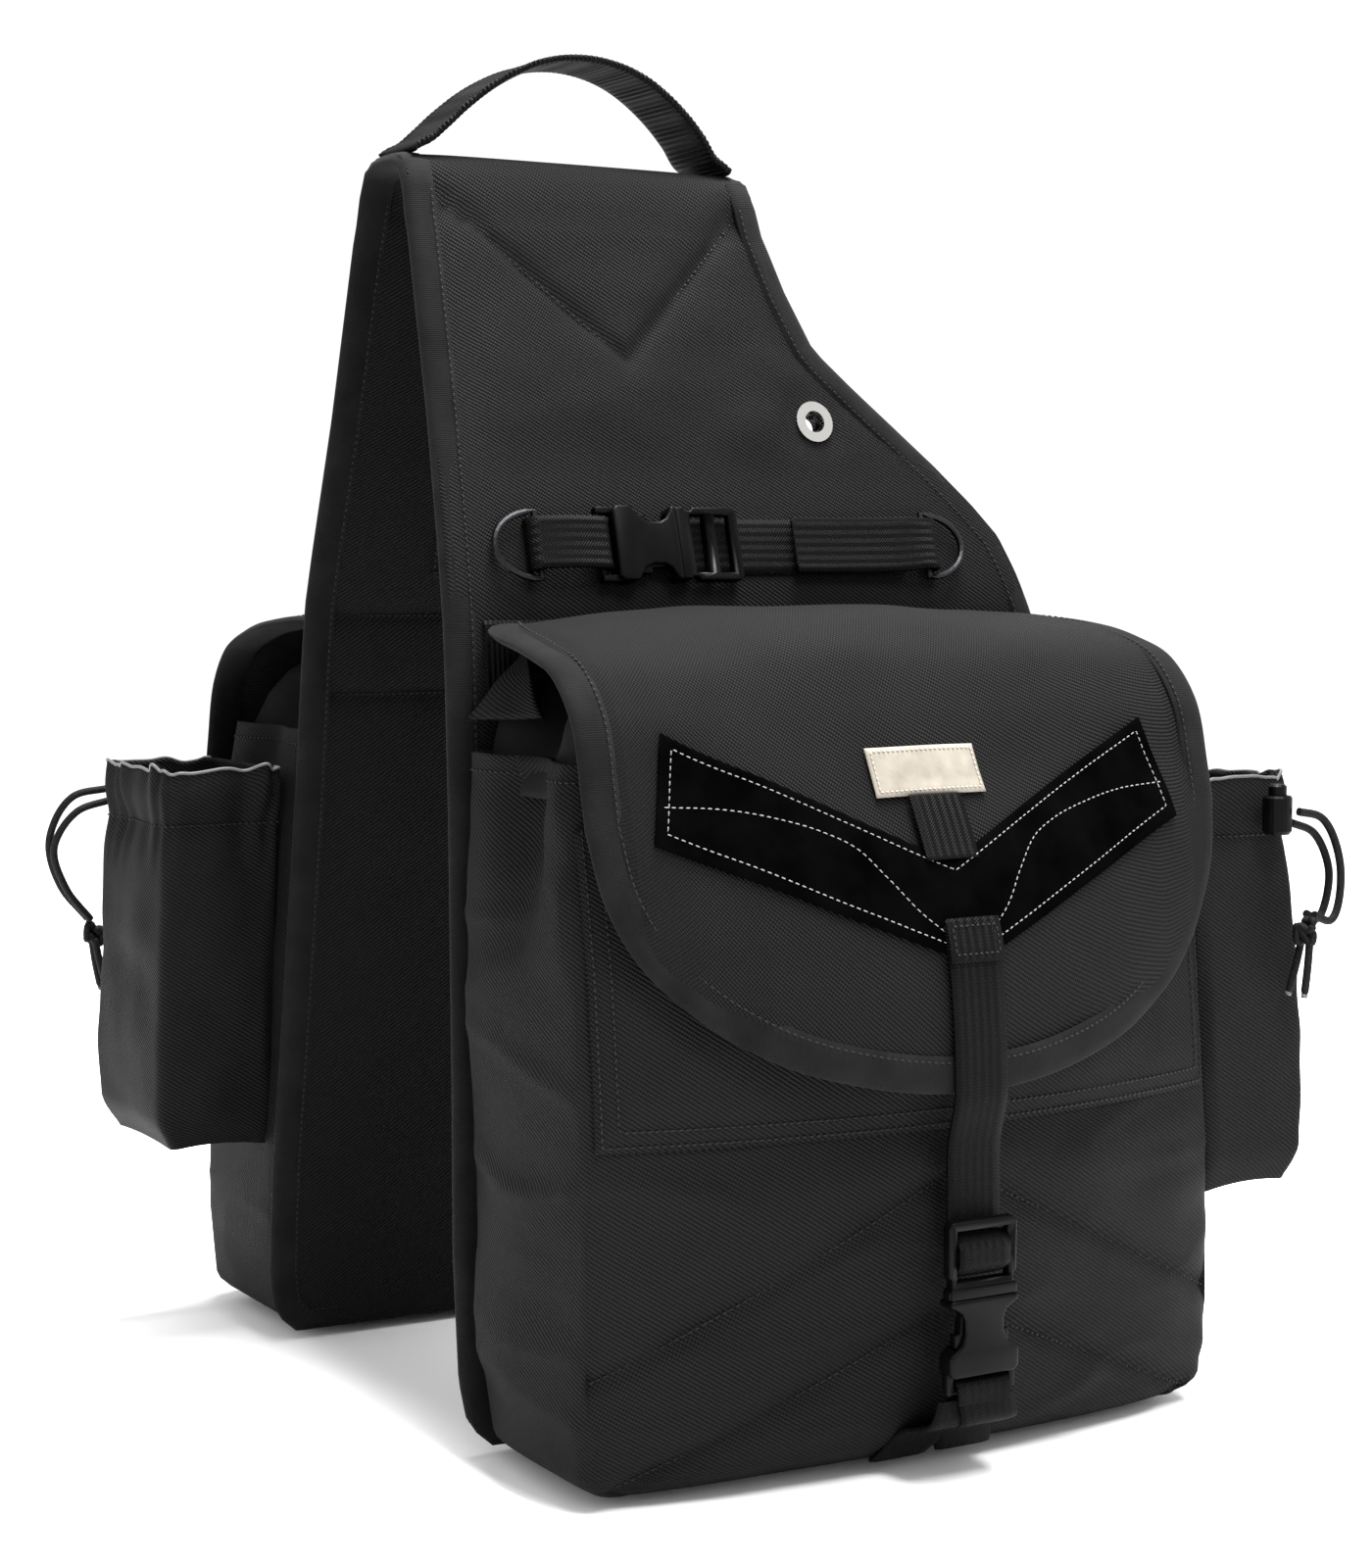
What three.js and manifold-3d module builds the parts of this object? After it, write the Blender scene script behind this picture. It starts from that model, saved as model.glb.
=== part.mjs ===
// Saddle bag pair: two stuffed bags on a padded yoke that folds over a ridge, in millimetres.
// +Z is up, the front bag faces -Y, X = 0 is the middle of the bags and Z = 0 is their flat bottoms.
// The rear bag is the front bag turned half round about Z. The rear yoke panel mirrors the front one.
import * as THREE from "three";
import { mergeVertices } from "three/addons/utils/BufferGeometryUtils.js";
import Module from "manifold-3d";

const wasm = await Module();
wasm.setup();

const GAP = 0.3; // between neighbouring pieces
const WEB = 25; // narrow webbing width
const WEB_THICK = 1.6;
const WIDE_WEB = 36; // handle and band
const HANDLE_THICK = 2.4;

// ---- yoke ----
const RIDGE_Z = 534;
const RIDGE_Y = 22; // half the width of the yoke's top
const KNEE_Z = 342; // the panel bends here, where the bag's stiff back begins
const UPPER_SLOPE = 0.28;
const LOWER_SLOPE = 0.09;
const PANEL_THICK = 7;
const PANEL_TOP = 506;
const ROLL_RADIUS = 18.5;
const ROLL_Z = 517.5; // the fold line runs along the middle of the roll
const KNEE_Y = RIDGE_Y + UPPER_SLOPE * (RIDGE_Z - KNEE_Z);
const TILT = Math.atan(UPPER_SLOPE);

// Straight-sided edge, and edge that flares in an S-curve, as x, z from bottom to top.
const STRAIGHT_EDGE = [[-146, 3], [-156, 12], [-159, 30], [-159, 80], [-156, 150], [-152, 260],
  [-150, 345], [-146, 425], [-144, PANEL_TOP]];
const FLARED_EDGE = [[29, PANEL_TOP], [36, 483], [47, 457], [66, 439], [84, 423], [104, 405], [121, 388],
  [133, 374], [140, 358], [146, 340], [150, 318], [153, 260], [156, 150], [159, 80], [159, 30],
  [156, 12], [146, 3]];

// ---- bag: each level is z, half width, depth at the edges, depth at the middle ----
const BAG_LEVELS = [[0, 146, 86, 94], [10, 152, 91, 103], [45, 155, 95, 113], [100, 155, 98, 122],
  [157, 155, 99, 127], [204, 154, 99, 125], [241, 152, 97, 115], [286, 147, 93, 99]];
const BAG_BACK = 1.9; // the bag's back stands off the panel by the binding's thickness
const BAG_WALL = 3;
const COLLAR_LEVELS = [[280, 142, 86, 90], [300, 136, 78, 82], [316, 124, 62, 66]];
const COLLAR_WALL = 2;
const POCKET_BOTTOM = 140;
const POCKET_TOP = 262;
const POCKET_SLOT = 5.4;
const POCKET_WALL = 1.6;

// ---- flap: y, z of its underside along the middle and along the sides ----
const FLAP_MIDDLE = [[-80, 334], [-95, 339], [-120, 341], [-145, 337], [-165, 324], [-180, 303],
  [-194, 277], [-214, 241], [-228, 204], [-233, 150], [-234, 120]];
const FLAP_SIDE = [[-80, 331], [-95, 333], [-120, 331], [-145, 326], [-167, 318], [-181, 303],
  [-189, 277], [-196, 241], [-198, 204], [-199, 150], [-199, 120]];
const FLAP_HALF = 151;
const FLAP_BACK_TAPER = 0.13; // the flap is narrower by this share at its back edge
const TAPER_DEPTH = 52; // and reaches its full width this far from the back edge
const FLAP_THICK = 3;
const FLAP_HEM = [[0, 157], [50, 163], [85, 174], [112, 190], [133, 211], [146, 236], [151, 262]];
const FLAP_INSET = 2.4; // the flap's edge lies inside the tape
const TAPE_SLACK = 1.7; // room between the tape and the flap's faces
const TRIM_LIFT = 0.9; // trim sewn on the flap's curved front
const BINDING_WIDTH = 12;
const BINDING_THICK = 1.1;

const CHEVRON = { endTop: [117, 296], endBottom: [126, 255], notch: 243, point: 204, thick: 1.3 };

// ---- bottle pocket on the bag's side ----
const BOTTLE = { x0: 155.3, x1: 210, y0: -14, y1: -96, bottom: 92, hem: 244, top: 268, wall: 2 };
const LOCK = { x: 196, y: -188, z: 244, radius: 6.5, height: 17, button: 4, travel: 3 };
const CORD = 3.6;

// ---- buckles: along is the pull direction, width runs across the webbing ----
const BUCKLE = { width: 33, depth: 9, shell: 31, base: 4, ladder: 27, wall: 1.8, bar: 2.4 };

const BLACK = { color: 0x161617, roughness: 0.85, metalness: 0 };
const WEBBING = { color: 0x101011, roughness: 0.8, metalness: 0 };
const PLASTIC = { color: 0x1a1a1b, roughness: 0.5, metalness: 0 };
const SUEDE = { color: 0x0b0b0b, roughness: 0.95, metalness: 0 };
const LEATHER = { color: 0xb9ab9a, roughness: 0.6, metalness: 0 };
const GUNMETAL = { color: 0x2a2a2b, roughness: 0.35, metalness: 1 };
const NICKEL = { color: 0xcfd0d2, roughness: 0.25, metalness: 1 };

const part = new THREE.Group();
part.name = "saddle_bag_pair";

// ---------- geometry helpers ----------

const lerp = (a, b, t) => a + (b - a) * t;

// Y of the front yoke panel's outer face at a height.
function panelY(z) {
  return z > KNEE_Z ? -(RIDGE_Y + UPPER_SLOPE * (RIDGE_Z - z)) : -(KNEE_Y + LOWER_SLOPE * (KNEE_Z - z));
}

// Value at t along a table of rows whose first column is the key, rising.
function tableAt(rows, key) {
  let i = 0;
  while (i < rows.length - 2 && rows[i + 1][0] < key) i++;
  const t = (key - rows[i][0]) / (rows[i + 1][0] - rows[i][0]);
  return rows[i].map((a, k) => lerp(a, rows[i + 1][k], t));
}

// Closed solid through rings of points: side walls between them and a cap on each end ring.
function ringSolid(rings, closed = false) {
  const n = rings[0].length;
  const positions = rings.flat(2);
  const index = [];
  const spans = closed ? rings.length : rings.length - 1;
  for (let i = 0; i < spans; i++) {
    const a = i * n;
    const b = ((i + 1) % rings.length) * n;
    for (let k = 0; k < n; k++) {
      const m = (k + 1) % n;
      index.push(a + k, a + m, b + m, a + k, b + m, b + k);
    }
  }
  if (!closed) {
    capTriangles(rings[0]).forEach(([p, q, r]) => index.push(r, q, p));
    const last = (rings.length - 1) * n;
    capTriangles(rings[rings.length - 1]).forEach(([p, q, r]) => index.push(last + p, last + q, last + r));
  }
  return outward(positions, index);
}

// Triangles of a flat ring, turned the way the ring runs.
function capTriangles(ring) {
  const normal = new THREE.Vector3();
  const points = ring.map((p) => new THREE.Vector3(...p));
  points.forEach((p, i) => normal.add(new THREE.Vector3().crossVectors(p, points[(i + 1) % points.length])));
  const turn = new THREE.Quaternion().setFromUnitVectors(normal.normalize(), new THREE.Vector3(0, 0, 1));
  const flat = points.map((p) => p.clone().applyQuaternion(turn)).map((p) => new THREE.Vector2(p.x, p.y));
  return THREE.ShapeUtils.triangulateShape(flat, []);
}

// Geometry whose faces point out, whichever way its rings ran.
function outward(positions, index) {
  let volume = 0;
  const at = (i) => new THREE.Vector3().fromArray(positions, i * 3);
  for (let i = 0; i < index.length; i += 3) {
    volume += at(index[i]).dot(at(index[i + 1]).cross(at(index[i + 2])));
  }
  if (volume < 0) index.reverse();
  const geometry = new THREE.BufferGeometry();
  geometry.setAttribute("position", new THREE.Float32BufferAttribute(positions, 3));
  geometry.setIndex(index);
  return geometry;
}

// Sheet of even thickness on a surface. surface(u, lift) gives one column of points at u.
function sheetSolid(columns, thick, column) {
  const rings = [];
  for (let i = 0; i <= columns; i++) {
    const u = i / columns;
    rings.push([...column(u, 0), ...column(u, thick).reverse()]);
  }
  return ringSolid(rings);
}

function extruded(outline, depth, bevel = 0) {
  const shape = new THREE.Shape(outline.map(([x, y]) => new THREE.Vector2(x, y)));
  const options = { depth, bevelEnabled: bevel > 0, bevelSize: bevel, bevelThickness: bevel,
    bevelSegments: 1, bevelOffset: -bevel };
  return new THREE.ExtrudeGeometry(shape, options);
}

// Block from two opposite corners.
function block(x0, x1, y0, y1, z0, z1) {
  const box = new THREE.BoxGeometry(Math.abs(x1 - x0), Math.abs(y1 - y0), Math.abs(z1 - z0));
  return box.translate((x0 + x1) / 2, (y0 + y1) / 2, (z0 + z1) / 2);
}

function toManifold(geometry) {
  const bare = geometry.clone();
  bare.deleteAttribute("normal");
  bare.deleteAttribute("uv");
  const merged = mergeVertices(bare, 1e-4);
  const triVerts = new Uint32Array(merged.index.array);
  const vertProperties = merged.attributes.position.array;
  return new wasm.Manifold(new wasm.Mesh({ numProp: 3, vertProperties, triVerts }));
}

function fromManifold(solid) {
  const mesh = solid.getMesh();
  const geometry = new THREE.BufferGeometry();
  geometry.setAttribute("position", new THREE.BufferAttribute(new Float32Array(mesh.vertProperties), 3));
  geometry.setIndex(new THREE.BufferAttribute(new Uint32Array(mesh.triVerts), 1));
  return geometry;
}

const joined = (...pieces) => fromManifold(pieces.map(toManifold).reduce((a, b) => a.add(b)));
const cut = (piece, ...tools) =>
  fromManifold(tools.map(toManifold).reduce((a, b) => a.subtract(b), toManifold(piece)));

// Bar or ring of a section swept along points; side gives the section's first axis at each point.
function swept(points, sides, section, closed = false) {
  const rings = points.map((p, i) => {
    const before = points[closed ? (i + points.length - 1) % points.length : Math.max(i - 1, 0)];
    const after = points[closed ? (i + 1) % points.length : Math.min(i + 1, points.length - 1)];
    const along = after.clone().sub(before).normalize();
    const side = sides(i).clone();
    side.addScaledVector(along, -side.dot(along)).normalize();
    const up = new THREE.Vector3().crossVectors(along, side);
    return section.map(([a, b]) => p.clone().addScaledVector(side, a).addScaledVector(up, b).toArray());
  });
  return ringSolid(rings, closed);
}

// ---------- placing ----------

function addMesh(parent, name, geometry, look) {
  const mesh = new THREE.Mesh(geometry, new THREE.MeshStandardMaterial(look));
  mesh.name = name;
  parent.add(mesh);
  return mesh;
}

// Group whose local XZ plane lies on the upper yoke panel, with -Y pointing out of it.
function onUpperPanel(parent, z) {
  const group = new THREE.Group();
  group.position.set(0, panelY(z), z);
  group.rotation.x = -TILT;
  parent.add(group);
  return group;
}

// ---------- yoke ----------

// The panel's upright slab, leaned to the A shape on each side of the knee.
function leanPanel(geometry) {
  const lean = (v) => {
    v[1] += panelY(v[2]);
  };
  const [above, below] = toManifold(geometry).splitByPlane([0, 0, 1], KNEE_Z);
  return fromManifold(above.warp(lean).add(below.warp(lean)));
}

function uprightSlab(outline, inner, outer) {
  const slab = extruded(outline, inner - outer);
  return slab.rotateX(Math.PI / 2).translate(0, inner, 0);
}

function insetOutline(outline, by) {
  return outline.map(([x, z], i) => {
    const [ax, az] = outline[(i + outline.length - 1) % outline.length];
    const [bx, bz] = outline[(i + 1) % outline.length];
    const inA = new THREE.Vector2(z - az, ax - x).normalize();
    const inB = new THREE.Vector2(bz - z, x - bx).normalize();
    const mitre = inA.add(inB).normalize();
    const scale = by / Math.max(0.35, mitre.dot(inB));
    return [x + mitre.x * scale, z + mitre.y * scale];
  });
}

const YOKE_OUTLINE = [...STRAIGHT_EDGE, ...FLARED_EDGE];

function addYokePanel(parent, end) {
  const outline = insetOutline(YOKE_OUTLINE, BINDING_THICK + GAP);
  const slab = uprightSlab(outline, PANEL_THICK, 0);
  const eyeletHole = new THREE.CylinderGeometry(EYELET.hole, EYELET.hole, 30, 20);
  eyeletHole.translate(EYELET.x, 0, EYELET.z);
  addMesh(parent, end + "_yoke_panel", leanPanel(cut(slab, eyeletHole)), BLACK);
}

// Folded tape round the panel's edge, open along the ridge where the panel carries on.
function addYokeBinding(parent, end) {
  const outer = uprightSlab(YOKE_OUTLINE, PANEL_THICK + GAP + BINDING_THICK, -GAP - BINDING_THICK);
  const window = uprightSlab(insetOutline(YOKE_OUTLINE, BINDING_WIDTH), 60, -60);
  const groove = uprightSlab(insetOutline(YOKE_OUTLINE, BINDING_THICK), PANEL_THICK + GAP, -GAP);
  const top = block(-200, 200, -60, 60, PANEL_TOP - BINDING_WIDTH - 2, PANEL_TOP + 60);
  addMesh(parent, end + "_yoke_binding", leanPanel(cut(outer, window, groove, top)), BLACK);
}

const BAND = { z0: 303, z1: 339, x0: -136, x1: 131, thick: 1.4 };

function addYokeBand(parent, end) {
  const { x0, x1, z0, z1, thick } = BAND;
  addMesh(parent, end + "_yoke_band", leanPanel(block(x0, x1, -GAP - thick, -GAP, z0, z1)), WEBBING);
}

const EYELET = { x: 41, z: 425, bore: 5, rim: 9.4, hole: 7.6, barrel: 6, flange: 1 };

function addEyelet(parent, end) {
  const { bore, rim, barrel, flange } = EYELET;
  const back = PANEL_THICK + 1;
  const profile = [[bore, -flange], [rim, -flange], [rim, 0], [barrel, 0], [barrel, back], [rim, back],
    [rim, back + flange], [bore, back + flange], [bore, -flange]];
  const ring = new THREE.LatheGeometry(profile.map(([r, y]) => new THREE.Vector2(r, y - GAP - 0.1)), 28);
  const group = onUpperPanel(parent, EYELET.z);
  addMesh(group, end + "_eyelet", ring.translate(EYELET.x, 0, 0), NICKEL);
}

// Padded roll along the fold, under the handle.
function addRidge() {
  const [x0, x1] = [-143, 25];
  const roll = new THREE.CylinderGeometry(ROLL_RADIUS, ROLL_RADIUS, x1 - x0, 32);
  roll.rotateZ(Math.PI / 2).translate((x0 + x1) / 2, 0, ROLL_Z);
  addMesh(part, "yoke_ridge", roll, BLACK);
}

// Carry handle: a webbing arch along the ridge, stitched flat at both ends.
function addHandle() {
  const foot = ROLL_Z + ROLL_RADIUS + 3 * GAP;
  const arch = [[-142, foot], [-126, foot], [-112, 549], [-92, 566], [-72, 575], [-50, 578], [-28, 573],
    [-8, 559], [4, 543], [10, foot], [24, foot]];
  const points = arch.map(([x, z]) => new THREE.Vector3(x, 0, z));
  const path = new THREE.CatmullRomCurve3(points, false, "centripetal").getPoints(30);
  const half = WIDE_WEB / 2;
  const section = [[-half, 0], [half, 0], [half, HANDLE_THICK], [-half, HANDLE_THICK]];
  const across = new THREE.Vector3(0, 1, 0);
  const handle = swept(path, () => across, section);
  addMesh(part, "handle", handle, WEBBING);
}

// ---------- yoke strap: D-rings, tab, buckle and doubled strap ----------

const STRAP = { z: 369, ringBar: 14.6, bow: 20, wire: 1.5, barOut: 4.1, tabLeft: -112, tabRight: -75,
  strapLeft: -36, foldEnd: 18, strapRight: 92, socketMouth: -42 };

// Points of a circle round the origin.
function circle(radius, count) {
  const points = [];
  for (let k = 0; k < count; k++) {
    const a = (2 * Math.PI * k) / count;
    points.push([radius * Math.cos(a), radius * Math.sin(a)]);
  }
  return points;
}

// Wire bent to a D: a straight bar along local Z and a bow towards -X.
function dRing() {
  const { ringBar, bow, wire } = STRAP;
  const points = [];
  for (let i = 0; i <= 4; i++) points.push(new THREE.Vector3(0, 0, lerp(ringBar, -ringBar, i / 4)));
  for (let i = 1; i < 16; i++) {
    const a = (Math.PI * i) / 16;
    points.push(new THREE.Vector3(-bow * Math.sin(a), 0, -ringBar * Math.cos(a)));
  }
  const wireSection = circle(wire, 8);
  return swept(points, () => new THREE.Vector3(0, 1, 0), wireSection, true);
}

// Webbing loop: a flattened ring in XY, seen along Z, from x0 to x1 round bars of the wire's size.
function webbingLoop(x0, x1, halfWidth) {
  const outer = STRAP.barOut - GAP;
  const racetrack = (r) => {
    const shape = [];
    for (let i = 0; i <= 8; i++) {
      const a = -Math.PI / 2 + (Math.PI * i) / 8;
      shape.push([x1 - outer + r * Math.cos(a), r * Math.sin(a)]);
    }
    for (let i = 0; i <= 8; i++) {
      const a = Math.PI / 2 + (Math.PI * i) / 8;
      shape.push([x0 + outer + r * Math.cos(a), r * Math.sin(a)]);
    }
    return shape;
  };
  const solid = extruded(racetrack(outer), 2 * halfWidth).translate(0, 0, -halfWidth);
  const slot = extruded(racetrack(outer - WEB_THICK), 4 * halfWidth).translate(0, 0, -2 * halfWidth);
  return cut(solid, slot);
}

// Side-release socket along +X: its mouth is at x = 0, its bar at the far -X end, its back on y = 0.
function buckleSocket() {
  const { width, depth, shell, wall, bar } = BUCKLE;
  const h = width / 2;
  const body = block(-shell, 0, -depth, 0, -h, h);
  const cavity = block(-shell + 5, 1, -depth + wall, -wall, -h + 3, h - 3);
  const windows = block(-20, -7, -depth + wall, -wall, -h - 1, h + 1);
  const arms = [-1, 1].map((s) => block(-shell - 7, -shell + 1, -6.2, -2, s * (h - 3.2), s * h));
  const cross = block(-shell - 7, -shell - 7 + bar, -5.1, -2.7, -h + 1, h - 1);
  return joined(cut(body, cavity, windows), ...arms, cross);
}

// The clip that enters the socket: two prongs, a guide, a base and a ladder frame for the webbing.
function buckleClip() {
  const { width, depth, base, ladder } = BUCKLE;
  const h = width / 2;
  const low = -depth + 2.4;
  const high = -2.4;
  const prongs = [-1, 1].map((s) => {
    const outline = [[0, 6.5], [0, 9.5], [-14, 10.4], [-14, 12.9], [-19, 12.9], [-24.5, 8], [-24.5, 6.4],
      [-18, 7]];
    const prong = extruded(outline.map(([x, z]) => [x, s * z]), high - low);
    return prong.rotateX(Math.PI / 2).translate(0, high, 0);
  });
  const guide = block(-18, 0.5, low + 0.6, high - 0.6, -2, 2);
  const foot = block(-0.1, base, low - 1, high + 0.5, -h, h);
  const frame = block(base - 0.1, base + ladder, low - 0.6, high + 0.1, -h, h);
  const openings = [[base + 3, base + 11], [base + 15, base + ladder - 3.5]].map(([a, b]) =>
    block(a, b, -20, 5, -h + 3, h - 3));
  return joined(cut(frame, ...openings), foot, guide, ...prongs);
}

// Doubled strap: a long layer under the buckle's ladder, folded back round the right D-ring's bar.
function doubledStrap() {
  const t = WEB_THICK;
  const { strapRight, barOut, strapLeft, foldEnd } = STRAP;
  const r = barOut - GAP;
  const arc = (radius, from, to) => {
    const points = [];
    for (let i = 0; i <= 8; i++) {
      const a = lerp(from, to, i / 8);
      points.push([strapRight - r + radius * Math.cos(a), -r + radius * Math.sin(a)]);
    }
    return points;
  };
  const flat = strapRight - 20;
  const outline = [[strapLeft, 0], ...arc(r, Math.PI / 2, -Math.PI / 2), [flat, -2 * t - GAP],
    [foldEnd, -2 * t - GAP], [foldEnd, -t - GAP], [flat, -t - GAP], ...arc(r - t, -Math.PI / 2, Math.PI / 2),
    [strapLeft, -t]];
  return extruded(outline, WEB).translate(0, 0, -WEB / 2);
}

function addYokeStrap(parent, end) {
  const group = onUpperPanel(parent, STRAP.z);
  const { tabLeft, tabRight, strapRight, barOut, socketMouth } = STRAP;
  const reach = barOut - GAP;
  const leftRing = dRing().translate(tabLeft + reach, -barOut, 0);
  addMesh(group, end + "_left_d_ring", leftRing, GUNMETAL);
  const rightRing = dRing().rotateZ(Math.PI).translate(strapRight - reach, -barOut, 0);
  addMesh(group, end + "_right_d_ring", rightRing, GUNMETAL);
  const tab = webbingLoop(tabLeft, tabRight, WEB / 2 - 0.3).translate(0, -barOut, 0);
  addMesh(group, end + "_d_ring_tab", tab, WEBBING);
  addMesh(group, end + "_yoke_strap", doubledStrap().translate(0, -GAP, 0), WEBBING);
  const socket = buckleSocket().translate(socketMouth, -0.2, 0);
  addMesh(group, end + "_yoke_buckle_socket", socket, PLASTIC);
  addMesh(group, end + "_yoke_buckle_clip", buckleClip().translate(socketMouth + 0.4, -0.2, 0), PLASTIC);
}

// ---------- bag ----------

// Plan outline of the bag at one level, drawn in by inset, as points at height z.
function bagRing([z, half, edge, middle], inset) {
  const back = panelY(z) - BAG_BACK - inset;
  const ring = [];
  const w = half - inset;
  const corner = 10; // rounding of the front corners
  ring.push([-w, back, z], [-w, panelY(z) - edge * 0.5, z]);
  const steps = 14;
  for (let i = 0; i <= steps; i++) {
    const u = (2 * i) / steps - 1;
    const x = u * (w - corner * 0.3);
    const round = corner * Math.pow(Math.abs(u), 12);
    const y = edge + (middle - edge) * (1 - u * u) - inset - round * 0.6;
    ring.push([x, panelY(z) - y, z]);
  }
  ring.push([w, panelY(z) - edge * 0.5, z], [w, back, z]);
  return ring;
}

function addBagShell(parent, end) {
  const outer = BAG_LEVELS.map((level) => bagRing(level, 0));
  const inner = BAG_LEVELS.slice(1).map((level) => bagRing(level, BAG_WALL));
  const floor = bagRing([BAG_WALL, ...tableAt(BAG_LEVELS, BAG_WALL).slice(1)], BAG_WALL);
  addMesh(parent, end + "_bag_shell", ringSolid([...outer, ...inner.reverse(), floor]), BLACK);
}

function addCollar(parent, end) {
  const outer = COLLAR_LEVELS.map((level) => bagRing(level, 0));
  const inner = COLLAR_LEVELS.map((level) => bagRing(level, COLLAR_WALL)).reverse();
  const rings = [...outer, ...inner];
  const shift = (p) => [p[0], p[1] - BAG_WALL - COLLAR_WALL, p[2]];
  addMesh(parent, end + "_collar", ringSolid(rings.map((ring) => ring.map(shift)), true), BLACK);
}

// Y of the bag's front at x, z.
function bagFrontY(x, z) {
  const [, half, edge, middle] = tableAt(BAG_LEVELS, z);
  const u = Math.min(1, Math.abs(x) / half);
  return panelY(z) - (edge + (middle - edge) * (1 - u * u));
}

// Patch pocket: a panel held off the bag's front by its side and bottom seams.
function addPatchPocket(parent, end) {
  const half = 140;
  const column = (out, z0) => (u, lift) => {
    const x = lerp(-half, half, u);
    return [0, 0.25, 0.5, 0.75, 1].map((v) => {
      const z = lerp(z0, POCKET_TOP, v);
      return [x, bagFrontY(x, z) - out - lift, z];
    });
  };
  const face = sheetSolid(16, POCKET_WALL, column(GAP + POCKET_SLOT, POCKET_BOTTOM));
  const rail = (x0, x1, z0, z1) => {
    const edge = (u, lift) => {
      const x = lerp(x0, x1, u);
      return [0, 0.25, 0.5, 0.75, 1].map((v) => {
        const z = lerp(z0, z1, v);
        return [x, bagFrontY(x, z) - GAP - lift, z];
      });
    };
    return sheetSolid(x1 - x0 > 10 ? 16 : 1, POCKET_SLOT + 0.5, edge);
  };
  const left = rail(-half, -half + 2, POCKET_BOTTOM, POCKET_TOP);
  const right = rail(half - 2, half, POCKET_BOTTOM, POCKET_TOP);
  const bottom = rail(-half, half, POCKET_BOTTOM, POCKET_BOTTOM + 2);
  addMesh(parent, end + "_patch_pocket", joined(face, left, right, bottom), BLACK);
}

// ---------- flap ----------

// The flap's section at x: a smooth curve between its middle and its side shape.
function flapSection(x) {
  const share = Math.min(1, (x / FLAP_HALF) ** 2);
  const points = FLAP_MIDDLE.map(([y, z], i) => {
    const [sideY, sideZ] = FLAP_SIDE[i];
    return new THREE.Vector3(x, lerp(y, sideY, share), lerp(z, sideZ, share));
  });
  return new THREE.CatmullRomCurve3(points, false, "centripetal");
}

// Point on the flap at x, a share t along its section, lifted off its underside.
function flapPoint(x, t, lift) {
  const section = flapSection(x);
  const at = section.getPoint(t);
  const along = section.getTangent(t);
  return [x, at.y + along.z * lift, at.z - along.y * lift];
}

// Share along the section at which the flap passes height z, on its front.
function flapShare(x, z) {
  let low = 0.4;
  let high = 1;
  const section = flapSection(x);
  for (let i = 0; i < 30; i++) {
    const mid = (low + high) / 2;
    if (section.getPoint(mid).z > z) low = mid;
    else high = mid;
  }
  return (low + high) / 2;
}

const hemZ = (x) => tableAt(FLAP_HEM, Math.min(Math.abs(x), FLAP_HALF))[1];

// Sheet on the flap's front between two heights that depend on x.
function onFlap(x0, x1, columns, rows, bottom, top, lift, thick) {
  return sheetSolid(columns, thick, (u, more) => {
    const x = lerp(x0, x1, u);
    const points = [];
    for (let i = 0; i <= rows; i++) {
      points.push(flapPoint(x, flapShare(x, lerp(bottom(x), top(x), i / rows)), lift + more));
    }
    return points;
  });
}

// Narrows a flap piece towards the flap's back edge.
function taperedBack(geometry) {
  const position = geometry.attributes.position;
  for (let i = 0; i < position.count; i++) {
    const near = 1 - Math.min(1, (FLAP_MIDDLE[0][0] - position.getY(i)) / TAPER_DEPTH);
    const share = near > 0 ? Math.min(1, near) ** 2 : 0;
    position.setX(i, position.getX(i) * (1 - FLAP_BACK_TAPER * share));
  }
  return geometry;
}

function addFlap(parent, end) {
  const half = FLAP_HALF - FLAP_INSET;
  const flap = sheetSolid(24, FLAP_THICK, (u, lift) => {
    const x = lerp(-half, half, u);
    const last = flapShare(x, hemZ((x * FLAP_HALF) / half) + FLAP_INSET);
    const points = [];
    for (let i = 0; i <= 20; i++) points.push(flapPoint(x, lerp(0, last, i / 20), lift));
    return points;
  });
  addMesh(parent, end + "_flap", taperedBack(flap), BLACK);
}

// Points round the flap's edge at the middle of its thickness, from the back left to the back right.
function flapEdge() {
  const left = [];
  const corner = flapShare(FLAP_HALF, hemZ(FLAP_HALF));
  for (let i = 0; i < 16; i++) left.push([-FLAP_HALF, lerp(0.02, corner, i / 16)]);
  const hem = [-148, -146, -140, -133, -123, -112, -99, -85, -68, -50, -25, 0];
  const lower = hem.map((x) => [x, flapShare(x, hemZ(x))]);
  const half = [...left, ...lower];
  const right = half.slice(0, -1).reverse().map(([x, t]) => [-x, t]);
  return [...half, ...right].map(([x, t]) => {
    const at = new THREE.Vector3(...flapPoint(x, t, FLAP_THICK / 2));
    return { at, x, t };
  });
}

// Point in the middle of the flap's thickness, a tape's width in from its edge.
function flapInner(x, t, inward) {
  const onHem = Math.abs(x) < FLAP_HALF;
  const [, , z] = flapPoint(x, t, 0);
  const inX = x + inward.x * BINDING_WIDTH;
  const inT = onHem ? flapShare(inX, z + inward.z * BINDING_WIDTH) : t;
  return new THREE.Vector3(...flapPoint(inX, inT, FLAP_THICK / 2));
}

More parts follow.
